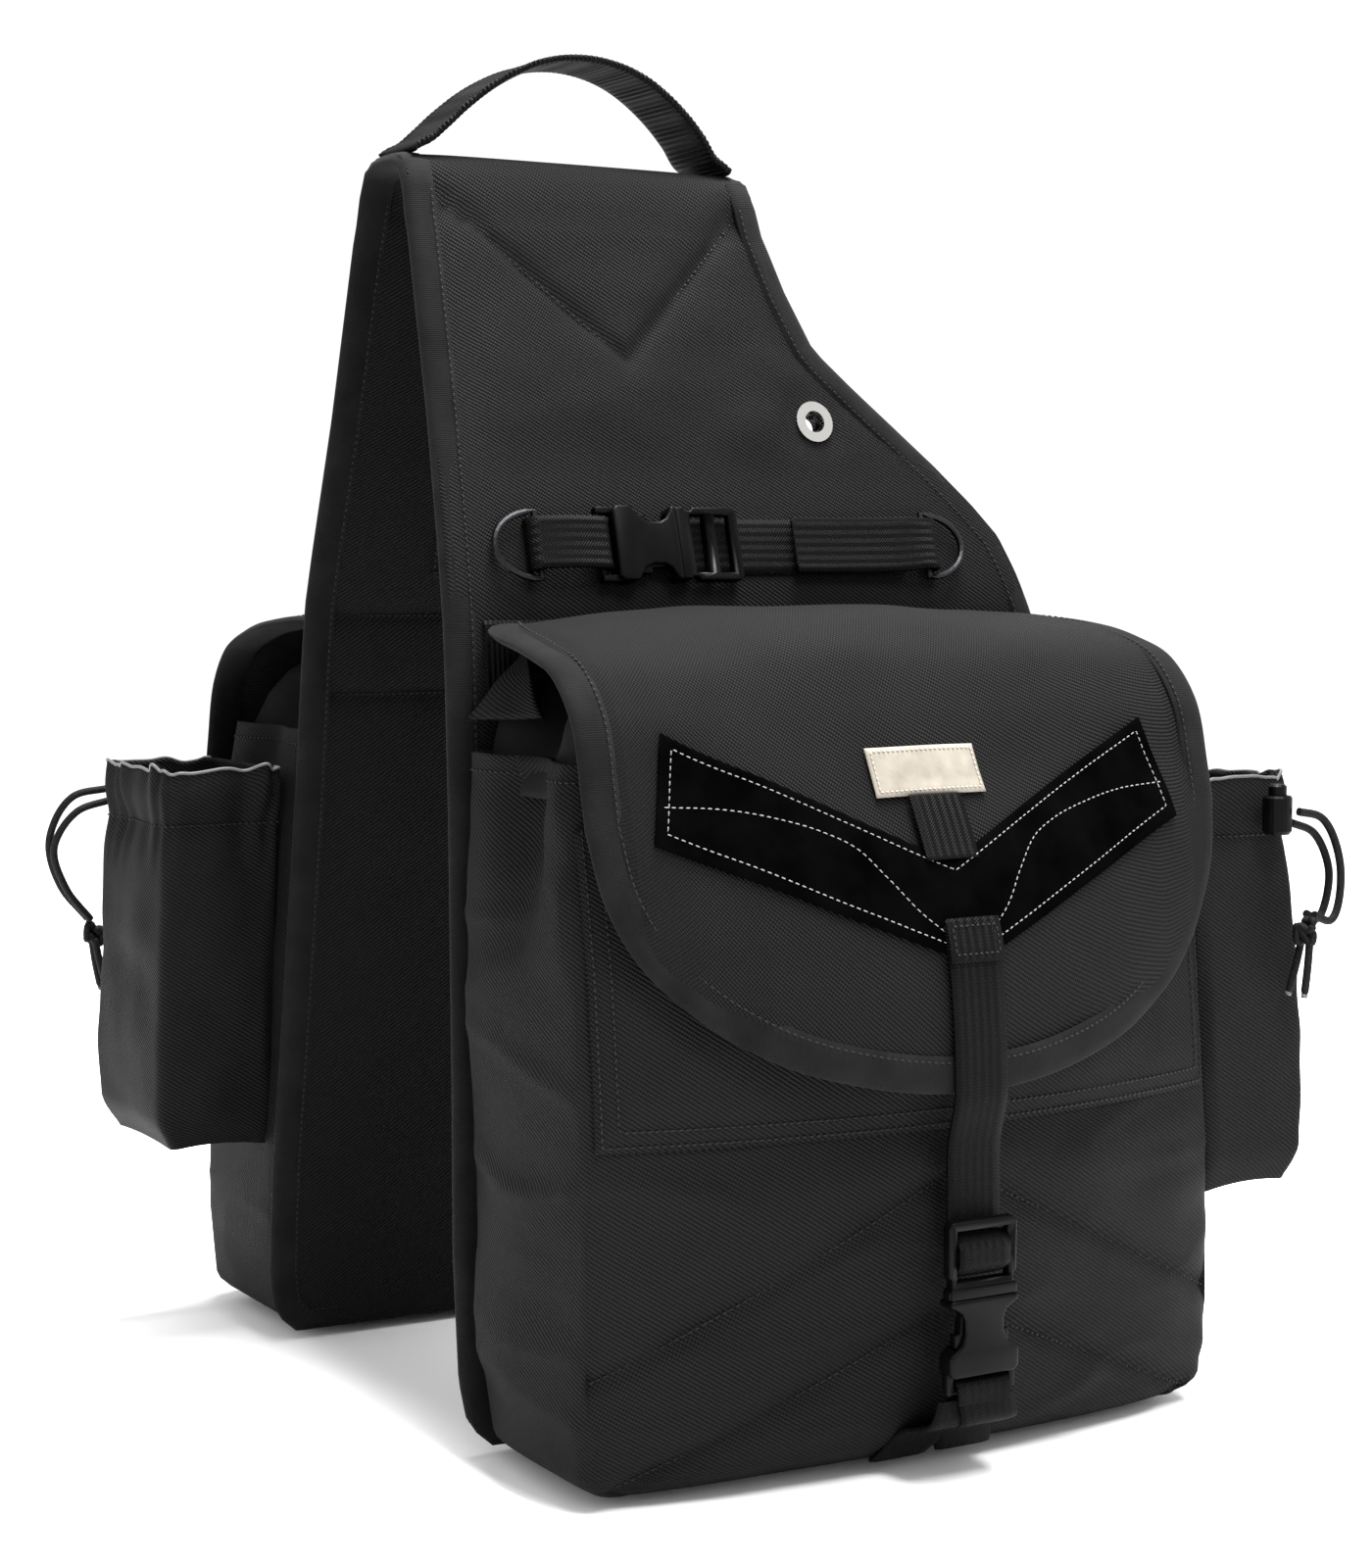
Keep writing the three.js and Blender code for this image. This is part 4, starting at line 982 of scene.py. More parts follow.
def make_yoke_strap(half):
    """The doubled strap with the right D-ring, and the folded tab with the left one."""
    tab = half_circle(-75.6 - RING_TURN, RING_BAR, RING_TURN, -math.pi / 2)
    tab += half_circle(-111.4 + RING_TURN, RING_BAR, RING_TURN, math.pi / 2)
    strap_piece(half + "_d_ring_webbing", tab + tab[:1], 150, WEB - 2.4, 1.5, half, half + "_d_ring_tab")
    turn = half_circle(92 - RING_TURN, 0.3 + RING_TURN, RING_TURN, -math.pi / 2)[3:]
    doubled = [(-36, 1.9), (20, 1.9), (72, 1.7)] + [(x, max(out, 1.6)) for x, out in turn]
    doubled += [(70, 5.6), (45, 4.4), (18, 4.2)]
    strap_piece(half + "_strap_webbing", doubled, 260, WEB, 1.5, half, half + "_yoke_strap")
    runs = []
    away = np.array([0, -0.96, 0.27])
    for x0, x1, out in ((20, 42, 4.6), (74, 84, 5.1)):
        for up in (-SEAM_HALF, SEAM_HALF):
            runs.append((strap_point(np.linspace(x0, x1, 12), np.full(12, out), up), away))
        for x in (x0, x1):
            ends = [strap_point(np.array([x]), np.array([4.7]), up)[0] for up in (-SEAM_HALF, SEAM_HALF)]
            runs.append((np.array(ends), away))
    sew(half + "_strap_thread", runs, half + "_half", half, pitch=2.8)


# ---------- bag ----------

COLLAR_LEVELS = np.array([(270, 141, 84, 91), (284, 140, 84, 90), (300, 135, 78, 82), (312, 127, 68, 70),
                          (317, 120, 60, 61)])
POCKET_LEFT, POCKET_RIGHT, POCKET_LOW, POCKET_TOP = -149.0, 147.0, 139.0, 262.0
QUILT_LINES = [[(9, 118), (152, 50)], [(-9, 118), (-152, 50)], [(12, 62), (140, 8)], [(-12, 62), (-140, 8)]]


def bag_size(z):
    """Half width, depth at the edge and depth in the middle."""
    return levels_at(BAG_LEVELS, z)


def bag_front(x, z, out=0.0):
    """Point on the bag's front, out from it, and the way it faces."""
    x, z, out = np.broadcast_arrays(np.asarray(x, float), np.asarray(z, float), np.asarray(out, float))
    half, edge, middle = bag_size(z)
    u = np.clip(np.abs(x) / half, 0, 1)
    depth = edge + (middle - edge) * (1 - u ** 2) + front_puff(x, z)
    ones = np.ones_like(x)
    normal = unit(np.stack([2 * (middle - edge) * x / half ** 2, -ones, 0.05 * ones], axis=-1))
    return np.stack([x, panel_y(z) - depth, z], axis=-1) + normal * out[..., None], normal


def front_puff(x, z):
    """Padding of the lower front between its quilting seams."""
    puff = 5.4 * fade(z, 4, 26) * (1 - fade(z, 118, 142)) * (1 - np.clip(np.abs(x) / 152, 0, 1) ** 6)
    for line in QUILT_LINES:
        puff = puff - quilted(seam_distance(x, z, line), 5.0, 11) * (1 - fade(z, 120, 134))
    return puff


def bag_ring(z, inset):
    """Plan outline of the bag at height z, anticlockwise from its back left corner."""
    half, edge, middle = bag_size(z)
    w = half - inset
    panel = float(panel_y(z))
    back = panel - BAG_BACK - inset
    side = (back + (panel - edge + inset)) / 2
    u = np.linspace(-1, 1, 41)
    front = np.stack([u * w, panel - (edge + (middle - edge) * (1 - u ** 2)) + inset], axis=1)
    corners = np.concatenate([[(-w, back), (-w, side)], front, [(w, side), (w, back), (-w, back)]])
    return at_height(rounded(corners, 300, 11), z)


def shape_bag(rings, seed):
    """Stuffs, creases and wrinkles the bag's outline rings."""
    x, y, z = rings[..., 0], rings[..., 1], rings[..., 2]
    front_y = panel_y(z) - bag_size(z)[1]
    depth = (panel_y(z) - y) / (panel_y(z) - front_y)
    side = fade(np.abs(x), 140, 148) * (1 - fade(depth, 0.9, 1.0)) * fade(depth, 0.02, 0.12)
    front = (y < front_y + 3) * (np.abs(x) < 152)
    across = np.sign(x) * side
    bulge = 4.5 * np.sin(np.pi * np.clip(depth, 0, 1)) * (1 - fade(z, 170, 262)) * fade(z, 0, 30)
    pleat = -17 * fade(z, 175, 284) * np.exp(-((depth - 0.52) / 0.2) ** 2)
    x_move = across * (bulge * np.where(x > 0, 0.2, 1) + pleat * np.where(x > 0, 0.4, 1))
    corner_lean = 3.0 * lumps(rings, 120, seed) * fade(z, 20, 60)
    fold = 2.0 * lumps(rings, 55, seed + 1, (1.0, 1.0, 0.6))
    fold = fold + 1.1 * lumps(rings, 24, seed + 2, (1.4, 1.4, 0.8))
    creases = 1.8 * np.clip(1 - 4 * np.abs(lumps(rings, 62, seed + 3, (1.6, 1.6, 0.55))), 0, 1)
    wrinkle = (fold + creases) * fade(z, 2, 14)
    under_pocket = 1 - 0.6 * fade(z, 130, 150)
    y_move = -front_puff(x, z) * front - (fold * 0.8 + creases * 0.7) * front * under_pocket
    x_move = x_move + across * (wrinkle * np.where(x > 0, 0.35, 1.0))
    x_move = x_move + side * corner_lean * np.where(x > 0, 0.2, 1)
    moved = rings.copy()
    moved[..., 0] += x_move
    moved[..., 1] += y_move
    return moved


def make_bag(half, seed):
    heights = np.concatenate([np.arange(0, BAG_TOP, 3.0), [BAG_TOP]])
    low = np.clip(heights / BAG_CORNER, 0, 1)
    rounding = BAG_CORNER * (1 - np.sqrt(np.clip(1 - (1 - low) ** 2, 0, 1)))
    under = np.array([bag_ring(0, inset) for inset in (60, 30, 16)])
    under[..., 2] = -0.4
    outer = shape_bag(np.array([bag_ring(z, inset) for z, inset in zip(heights, rounding)]), seed)
    outer[0, :, 2] = 0.3
    inner = shape_bag(np.array([bag_ring(z, 3.2) for z in heights[::-2][:-1]]), seed)
    basin = np.array([bag_ring(4, inset) for inset in (10, 40)])
    bag = shell(half + "_bag", np.concatenate([under, outer, inner, basin]), "twill", half)
    attach(bag, half + "_half", "black_polyester", half + "_bag_shell")
    runs = []
    for line in QUILT_LINES:
        dense = resample(line, 70)
        runs.append(bag_front(dense[:, 0], dense[:, 1], 0.35))
    hem = outer[-4]
    away = unit((hem - hem.mean(0)) * np.array([1, 1, 0]))
    away = np.concatenate([away, away[:1]])
    runs.append((np.concatenate([hem, hem[:1]]) + away * 0.3, away))
    sew(half + "_bag_thread", runs, half + "_half", half)


def collar_ring(z, inset):
    """Plan outline of the collar at height z, with a pleat in each side."""
    w, edge, middle = [size - inset for size in levels_at(COLLAR_LEVELS, z)]
    panel = float(panel_y(z))
    back = panel - 6 - inset
    u = np.linspace(-1, 1, 31)
    front = np.stack([u * w, panel - 5 - (edge + (middle - edge) * (1 - u ** 2))], axis=1)
    corners = np.concatenate([[(-w, back)], front, [(w, back)], [(-w, back)]])
    ring = at_height(rounded(corners, 220, 4), z)
    depth = (panel_y(ring[:, 2]) - ring[:, 1]) / edge
    side = fade(np.abs(ring[:, 0]), w - 9, w - 2)
    pleat = 24 * fade(z, 268, 310) * np.exp(-((depth - 0.55) / 0.18) ** 2)
    ring[:, 0] -= np.sign(ring[:, 0]) * side * pleat
    return ring


def make_collar(half, seed):
    """Inner collar that folds shut under the flap."""
    heights = np.linspace(COLLAR_LEVELS[0, 0], COLLAR_LEVELS[-1, 0], 17)
    rings = np.array([collar_ring(z, 0) for z in heights] + [collar_ring(z, 2.2) for z in heights[::-1]])
    rings[..., 0] += 1.6 * lumps(rings, 26, seed)
    rings[..., 1] += 1.2 * lumps(rings, 22, seed + 1)
    collar = shell(half + "_collar_cloth", rings, "lining", half, closed=True)
    attach(collar, half + "_half", "black_polyester", half + "_collar")
    for side, name in SIDES:
        make_ear(half, seed, side, name)


def make_ear(half, seed, side, name):
    """Folded ear of cloth at a back corner of the collar, on its left (-1) or right (1)."""
    top, low = np.array([side * 128, -97, 328.0]), np.array([side * 146, -82, 300.0])
    front_low = np.array([side * 133, -122, 301.0])
    rows = []
    for v in np.linspace(0, 1, 14):
        a, b = low + (top - low) * v, front_low + (top - front_low) * v
        row = [a + (b - a) * u for u in np.linspace(0.0, 1.0, 14)]
        rows.append(row[::-1] if side < 0 else row)
    grid = np.array(rows)
    grid[-1] += (grid[-2] - grid[-1]) * 0.05
    grid[..., 0] += side * 1.5 * lumps(grid, 14, seed + 4)
    grid[..., 2] += 1.0 * lumps(grid, 18, seed + 5)
    ear = cloth(half + "_ear_" + name, grid[:, ::-1], 2.4, "twill", half)
    attach(ear, half + "_half")


def pocket_out(x, z):
    """How far the patch pocket's cloth stands out from the bag, and how far x, z is from its sewn edge."""
    rim = np.minimum(np.minimum(x - POCKET_LEFT, POCKET_RIGHT - x), z - POCKET_LOW)
    return 1.7 + 5.0 * (1 - np.exp(-rim / 16)), rim


def make_patch_pocket(half, seed):
    x, z = np.meshgrid(np.linspace(POCKET_LEFT, POCKET_RIGHT, 100), np.linspace(POCKET_LOW, POCKET_TOP, 44))
    out, rim = pocket_out(x, z)
    points, _ = bag_front(x, z, out)
    creases = 1.4 * lumps(points, 44, seed, (1, 1, 0.7)) + 0.6 * lumps(points, 18, seed + 1)
    points[..., 1] -= creases * fade(rim, 2, 22)
    pocket = cloth(half + "_pocket", points, 1.6, "twill", half, soft_edge=True)
    attach(pocket, half + "_half", "black_polyester", half + "_patch_pocket")
    runs = []
    for inset in (2.5, 8.5):
        left, right, low = POCKET_LEFT + inset, POCKET_RIGHT - inset, POCKET_LOW + inset
        dense = resample([(left, POCKET_TOP), (left, low), (right, low), (right, POCKET_TOP)], 260)
        x, z = dense[:, 0], dense[:, 1]
        runs.append(bag_front(x, z, pocket_out(x, z)[0] + 0.35))
    sew(half + "_pocket_thread", runs, half + "_half", half)


# ---------- flap and what is sewn on it ----------

def flap_section(x):
    """Smooth underside of the flap at x, from its back edge down the front, with its way and length."""
    share = min(1.0, (x / FLAP_HALF) ** 2)
    path = smooth_path(FLAP_MIDDLE * (1 - share) + FLAP_SIDE * share, 260)
    return path, unit(np.gradient(path, axis=0)), lengths(path)


def flap_reach(x, z):
    """Distance along the flap's section at which its front passes height z."""
    path, _, length = flap_section(x)
    start = np.argmax(path[:, 1])
    return np.interp(-z, -path[start:, 1], length[start:])


def flap_dents(x, reach):
    """Loft and soft dents of the padded flap."""
    place = np.array([[x, reach, 0.0]])
    slack = 2.3 * lumps(place, 58, 8)[0] + 0.8 * lumps(place, 26, 9, (1.3, 0.8, 1))[0]
    return slack * fade(FLAP_HALF - abs(x), 2, 24) * fade(reach, 2, 24)


def flap_at(x, reach, lift):
    """Point on the flap lifted off its underside, and the way it faces."""
    path, way, length = flap_section(x)
    y, z = (np.interp(reach, length, path[:, k]) for k in (0, 1))
    dy, dz = (np.interp(reach, length, way[:, k]) for k in (0, 1))
    size = math.hypot(dy, dz)
    normal = np.array([0, dz / size, -dy / size])
    near = min(1.0, max(0.0, 1 + (y - FLAP_BACK_Y) / TAPER_DEPTH))
    place = np.array([x * (1 - FLAP_BACK_TAPER * near ** 2), y, z])
    return place + normal * (lift + flap_dents(x, reach)), normal


def hem_z(x):
    return np.interp(abs(x), FLAP_HEM[:, 0], FLAP_HEM[:, 1])


def on_flap(line, lift, count):
    """An x, z line on the flap's front as points and normals, lifted off its outer face."""
    pairs = [flap_at(x, flap_reach(x, z), FLAP_THICK + lift) for x, z in resample(line, count)]
    return np.array([p for p, _ in pairs]), np.array([n for _, n in pairs])


def patch_on_flap(name, bottom, top, half_width, columns, rows, lift, thick, material, half):
    """Flat trim between two x, z edges that depend on x, with its outer face lift + thick out."""
    grid = []
    for v in np.linspace(0, 1, rows):
        row = []
        for x in np.linspace(-half_width, half_width, columns):
            z = bottom(x) + (top(x) - bottom(x)) * v
            row.append(flap_at(x, flap_reach(x, z), FLAP_THICK + lift + thick)[0])
        grid.append(row)
    return cloth(name, np.array(grid), thick, material, half, soft_edge=True)


def down_flap(heights, lift):
    """Points down the flap's middle at these heights, lifted off its outer face."""
    return [flap_at(0, flap_reach(0, z), FLAP_THICK + lift)[0] for z in heights]


def make_flap(half):
    columns, rows = 90, 104
    grid = np.empty((rows, columns, 3))
    for c, x in enumerate(np.linspace(0.5 - FLAP_HALF, FLAP_HALF - 0.5, columns)):
        end = flap_reach(x, hem_z(x))
        for r, reach in enumerate(np.linspace(end, 1, rows)):
            grid[r, c] = flap_at(x, reach, FLAP_THICK)[0]
    flap = cloth(half + "_flap_cloth", grid, FLAP_THICK - 0.4, "twill", half, soft_edge=True)
    attach(flap, half + "_flap", "black_polyester", half + "_flap")
    make_flap_binding(half)


def flap_rim():
    """x and reach of points round the flap's free edge, from the back left to the back right."""
    corner = flap_reach(-FLAP_HALF, FLAP_HEM[-1, 1])
    rim = [(-FLAP_HALF, reach) for reach in np.linspace(2, corner, 60)[:-1]]
    hem_line = [(-x, z) for x, z in FLAP_HEM[::-1]] + [(x, z) for x, z in FLAP_HEM[1:]]
    rim += [(x, flap_reach(x, z)) for x, z in smooth_path(hem_line, 150)]
    return rim + [(FLAP_HALF, reach) for reach in np.linspace(corner, 2, 60)[1:]]


def make_flap_binding(half):
    pairs = [flap_at(x, reach, FLAP_THICK / 2 + 0.2) for x, reach in flap_rim()]
    edge = np.array([p for p, _ in pairs])
    normal = np.array([n for _, n in pairs])
    along = np.gradient(edge, axis=0)
    for _ in range(3):
        along[1:-1] = 0.5 * along[1:-1] + 0.25 * (along[:-2] + along[2:])
    inward = unit(np.cross(normal, along))
    tape = edge_tape(half + "_flap_tape", edge, inward, normal, FLAP_THICK / 2, 13.5, "tape", half)
    attach(tape, half + "_flap", "binding_tape", half + "_flap_binding")
    run = edge + inward * 11.0 + normal * (FLAP_THICK / 2 + 1.45)
    sew(half + "_flap_thread", [(run, normal)], half + "_flap", half, pitch=3.1, radius=0.36)


CHEVRON_END_TOP, CHEVRON_END_LOW = (117.0, 296.0), (126.0, 255.0)
CHEVRON_NOTCH, CHEVRON_POINT = 243.0, 204.0
CHEVRON_WAVE = [(-120.5, 0.42), (-97, 0.46), (-75, 0.35), (-56, 0.29), (-42, 0.31), (-31, 0.47), (-21, 0.68),
                (-9, 0.82)]
LABEL_LOW, LABEL_TOP, LABEL_HALF = 268.0, 287.0, 26.0


def chevron_top(x):
    rise = CHEVRON_NOTCH + (CHEVRON_END_TOP[1] - CHEVRON_NOTCH) * min(1, abs(x) / CHEVRON_END_TOP[0])
    slant = max(0.0, (abs(x) - CHEVRON_END_TOP[0]) / (CHEVRON_END_LOW[0] - CHEVRON_END_TOP[0]))
    return rise + (CHEVRON_END_LOW[1] + 1 - rise) * slant


def chevron_low(x):
    return CHEVRON_POINT + (CHEVRON_END_LOW[1] - CHEVRON_POINT) * abs(x) / CHEVRON_END_LOW[0]


def make_chevron(half):
    lift, thick = 0.5, 1.4
    chevron = patch_on_flap(half + "_suede", chevron_low, chevron_top, CHEVRON_END_LOW[0], 169, 22,
                            lift, thick, "suede", half)
    attach(chevron, half + "_flap", "suede", half + "_chevron")
    top = lift + thick + 0.15
    inset = 3.6
    corner_top = (CHEVRON_END_TOP[0] - inset, CHEVRON_END_TOP[1] - 1.6 * inset)
    corner_low = (CHEVRON_END_LOW[0] - 1.5 * inset, CHEVRON_END_LOW[1] + 1.1 * inset)
    notch, point = CHEVRON_NOTCH - inset, CHEVRON_POINT + inset * 1.1
    outline = [(0, notch), corner_top, corner_low, (0, point), (-corner_low[0], corner_low[1]),
               (-corner_top[0], corner_top[1]), (0, notch)]
    wavy = [(x, chevron_top(x) + (chevron_low(x) - chevron_top(x)) * share) for x, share in CHEVRON_WAVE]
    wavy = smooth_path(wavy, 90)
    runs = [on_flap(outline, top, 420), on_flap(wavy, top, 90), on_flap(wavy * np.array([-1, 1]), top, 90)]
    sew(half + "_chevron_thread", runs, half + "_flap", half, radius=0.25, material="grey_thread")


def box_line(half_width, low, top):
    return [(-half_width, low), (half_width, low), (half_width, top), (-half_width, top), (-half_width, low)]


def make_label(half):
    label = patch_on_flap(half + "_leather_label", lambda x: LABEL_LOW, lambda x: LABEL_TOP, LABEL_HALF,
                          40, 16, 0.6, 1.6, "leather", half)
    attach(label, half + "_flap", "label_leather", half + "_label")
    outline = box_line(LABEL_HALF - 1.8, LABEL_LOW + 1.7, LABEL_TOP - 1.7)
    sew(half + "_label_thread", [on_flap(outline, 2.4, 160)], half + "_flap", half, pitch=2.2, radius=0.3,
        material="beige_thread")
    path = down_flap(np.linspace(267.6, 243.5, 20), 3.2)[::-1]
    tab = strip(half + "_label_webbing", path, (1, 0, 0), WEB, 1.3, "herring", half)
    attach(tab, half + "_flap", "webbing", half + "_label_tab")


# ---------- closure ----------

BUCKLE_Y = -233.5
LEG_WIDTH = 27.0


def make_closure(half):
    """Strap from the flap to behind the clip, its sewn fold, and the short turn through the clip's ladder."""
    sewn = down_flap((219, 206, 192, 178, 164, 156), 3.9)
    free = [(0, BUCKLE_Y - 1.4, 135), (0, BUCKLE_Y - 1.2, 112), (0, BUCKLE_Y - 1.2, 84)]
    path = smooth_path(np.concatenate([sewn, free]), 150)
    strap = strip(half + "_closure_webbing", path[::-1], (1, 0, 0), WEB, 1.7, "herring", half)
    attach(strap, half + "_flap", "webbing", half + "_closure_strap")
    fold = down_flap(np.linspace(221, 205, 12), 5.5)[::-1]
    attach(strip(half + "_closure_fold", fold, (1, 0, 0), WEB + 0.6, 1.5, "herring", half), half + "_flap")
    over_bar = [(101, -3.4), (99, -6.2), (96, -8.9), (92, -9.1), (88, -8.9), (85, -6.2), (83.4, -3.4)]
    threaded = smooth_path([(0, BUCKLE_Y + out, z) for z, out in over_bar], 40)[::-1]
    turned = strip(half + "_clip_webbing", threaded, (1, 0, 0), WEB - 0.6, 1.4, "herring", half)
    attach(turned, half + "_closure_clip")
    runs = [on_flap(box_line(10.5, 208, 218), 5.7, 60)]
    sew(half + "_closure_thread", runs, half + "_flap", half, pitch=2.6, radius=0.36)


def make_lower_strap(half):
    """Webbing through the socket's bar, spread into two legs that end at the bag's bottom edge."""
    bar_z, bar_y = 38.2, BUCKLE_Y - 4.1
    turn = [(0, bar_y + 2.9 * math.cos(a), bar_z + 2.9 * math.sin(a)) for a in np.linspace(0, math.pi, 9)]
    loop = [(0, bar_y + 2.9, bar_z - 7)] + turn + [(0, bar_y - 2.9, bar_z - 5)]
    piece = strip(half + "_bar_webbing", smooth_path(loop, 70), (1, 0, 0), WEB, 1.5, "herring", half)
    attach(piece, half + "_half", "webbing", half + "_lower_strap")
    for side, name in SIDES:
        lift = 1.8 if side > 0 else 0.0
        line = [(side * 4, bar_y + 1.2 - lift, 34), (side * 6.5, bar_y + 2.0 - lift, 25)]
        line += [tuple(bag_front(side * x, z, 2.6)[0]) for x, z in ((10.0, 15.0), (13.5, 8.0), (16.0, 3.0))]
        path = smooth_path(line, 60)[::-1]
        leg = strip(half + "_leg_" + name, path, (1, 0, 0), LEG_WIDTH, 1.6, "herring", half)
        attach(leg, half + "_half")


# ---------- bottle pocket ----------

BOTTLE_X0, BOTTLE_X1 = 153.5, 210.0
BOTTLE_Y0, BOTTLE_Y1 = -14.0, -96.0
BOTTLE_LOW, BOTTLE_HEM, BOTTLE_TOP = 92.0, 244.0, 268.0


def bottle_ring(z, inset):
    """Plan outline of the bottle pocket at height z, narrower at its base."""
    taper = 9 * (1 - fade(z, BOTTLE_LOW - 4, BOTTLE_LOW + 16))
    out = BOTTLE_X1 - inset - taper
    y0, y1 = BOTTLE_Y0 - inset - taper * 0.5, BOTTLE_Y1 + inset + taper * 0.5
    inner = BOTTLE_X0 + inset
    ring = rounded([(inner, y1), (out, y1), (out, y0), (inner, y0), (inner, y1)], 240, 14)
    ring[:, 1] += float(panel_y(z))
    return at_height(ring, z)


def shape_bottle(rings, seed):
    """Gathers the drawn hem, pleats the corners and crumples the sides."""
    z = rings[..., 2]
    dx = rings[..., 0] - (BOTTLE_X0 + BOTTLE_X1) / 2
    dy = rings[..., 1] - (panel_y(z) + (BOTTLE_Y0 + BOTTLE_Y1) / 2)
    size = np.hypot(dx, dy)
    free = fade(rings[..., 0], BOTTLE_X0 + 1, BOTTLE_X0 + 9)
    turn = np.linspace(0, 2 * np.pi, rings.shape[1], endpoint=False)[None, :]
    wide = np.sin(turn * 11 + 2.2 * np.sin(turn * 3 + seed))
    fine = np.sin(turn * 19 + 2.0 * np.sin(turn * 4))
    gathers = (wide + 0.6 * fine) * (0.55 + 0.45 * np.sin(turn * 5 + seed))
    drawn = fade(z, 214, BOTTLE_HEM) * (1 + 0.5 * fade(z, BOTTLE_HEM, BOTTLE_TOP))
    radial = 1.15 * gathers * drawn - 2.4 * np.exp(-((z - BOTTLE_HEM) / 10) ** 2)
    crumples = 2.6 * lumps(rings, 46, seed, (1, 1, 0.9)) + 1.2 * lumps(rings, 21, seed + 1)
    radial = radial + crumples * fade(z, 94, 116)
    radial = radial + 2.0 * np.sin(np.pi * np.clip((z - BOTTLE_LOW) / 140, 0, 1))
    moved = rings.copy()
    moved[..., 0] += dx / size * radial * free
    moved[..., 1] += dy / size * radial * free
    moved[..., 2] += (1.6 * gathers + 2.0 * lumps(rings, 30, seed + 2)) * fade(z, 250, BOTTLE_TOP) * free
    moved[..., 2] -= 3.5 * (np.abs(dx) / 28) ** 2 * (np.abs(dy) / 41) ** 2 * (1 - fade(z, 92, 112))
    return moved


def make_bottle_pocket(half, seed):
    heights = np.concatenate([np.arange(BOTTLE_LOW, BOTTLE_HEM, 2.4), [BOTTLE_HEM]])
    base = [bottle_ring(BOTTLE_LOW - 0.6, inset) for inset in (20, 8)]
    outer = [bottle_ring(z, 0) for z in heights]
    inner = [bottle_ring(z, 1.6) for z in heights[::-1][:-2]]
    basin = [bottle_ring(BOTTLE_LOW + 4, inset) for inset in (8, 20)]
    rings = shape_bottle(np.array(base + outer + inner + basin), seed)
    pocket = shell(half + "_bottle_cloth", rings, "twill", half)
    attach(pocket, half + "_half", "black_polyester", half + "_bottle_pocket")
    seam = shape_bottle(np.array([bottle_ring(BOTTLE_HEM - 1, 0)]), seed)[0]
    out = unit((seam - seam.mean(0)) * np.array([1, 1, 0]))
    make_bottle_hem(half, seed)
    sew(half + "_bottle_thread", [(seam + out * 0.5, out)], half + "_half", half)


def make_bottle_hem(half, seed):
    """Gathered hem on the bottle pocket, with a pale tube along the rim of its free sides as a painted
    highlight.
    """
    count = 14
    rise = np.linspace(BOTTLE_HEM - 1, BOTTLE_TOP, count)
    puffed = [-1.2 * math.sin(math.pi * k / (count - 1)) for k in range(count)]
    hem = [bottle_ring(z, p) for z, p in zip(rise, puffed)]
    hem += [bottle_ring(z, 3.2 + 0.8 * p) for z, p in zip(rise[::-1], puffed)]
    hem = shape_bottle(np.array(hem), seed)
    cuff = shell(half + "_bottle_hem", hem, "twill", half, closed=True)
    attach(cuff, half + "_half", "black_polyester", half + "_pocket_hem")
    # Painted highlight: a pale tube along the hem's top edge stands in for the light caught on the rim.
    top_edge = hem[count - 1, 2:178] + np.array([0, 0, 0.2])
    attach(tube_mesh(half + "_bottle_rim_highlight", [top_edge], 0.7, "coated", half), half + "_half")


def select_only(pieces):
    for other in bpy.context.selected_objects:
        other.select_set(False)
    for piece in pieces:
        piece.select_set(True)
    bpy.context.view_layer.objects.active = pieces[0]


# ---------- side-release buckles ----------

# Outlines in x, z with the socket's mouth and the clip's shoulder at x 0. y 0 is the back.
SOCKET_SIDE = [(-31, 14.5), (-29, 16.5), (-22, 16.5), (-20.5, 14), (-18, 10.8), (-14, 9.2), (-8.5, 9.2),
               (-5.5, 10.8), (-3.4, 14), (-2.6, 16.2), (0, 16.2)]
CLIP_SIDE = [(0, 16.2), (3.4, 16.4), (5, 14.6), (8, 14.6), (9, 16.2), (29, 16.4), (31, 14.6)]
SOCKET_DEPTH, MOUTH_HALF, BAR_END = 9.0, 13.4, -38.0
STRAP_MOUTH_X, CLOSURE_MOUTH_Z = -42.0, 75.0
PRONG = [(0, 6.5), (0, 9.5), (-14, 10.4), (-14, 12.9), (-19, 12.9), (-24.5, 8), (-24.5, 6.4), (-18, 7)]


def prism(name, outline, y0, y1, edge):
    """Flat plate with this x, z outline between y0 and y1, its edges rounded. In millimetres."""
    count = len(outline)
    points = [(x, y, z) for y in (y0, y1) for x, z in outline]
    faces = [tuple(range(count)), tuple(range(2 * count - 1, count - 1, -1))]
    faces += [(i, i + count, (i + 1) % count + count, (i + 1) % count) for i in range(count)]
    piece = new_piece(name, points, faces, [(0, 0)] * len(points), "plastic")
    select_only([piece])
    bpy.ops.object.mode_set(mode="EDIT")
    bpy.ops.mesh.select_all(action="SELECT")
    bpy.ops.mesh.normals_make_consistent(inside=False)
    bpy.ops.object.mode_set(mode="OBJECT")
    if edge:
        modify(piece, "BEVEL", width=edge * MM, segments=3, limit_method="ANGLE",
               angle_limit=math.radians(35))
    return piece


def rectangle(x0, x1, z0, z1):
    return [(x0, z0), (x1, z0), (x1, z1), (x0, z1)]


def modify(piece, kind, **settings):
    modifier = piece.modifiers.new(kind.lower(), kind)
    for key, value in settings.items():
        setattr(modifier, key, value)
    bpy.context.view_layer.objects.active = piece
    bpy.ops.object.modifier_apply(modifier=modifier.name)


def both_sides(side):
    return side + [(x, -z) for x, z in side[::-1]]


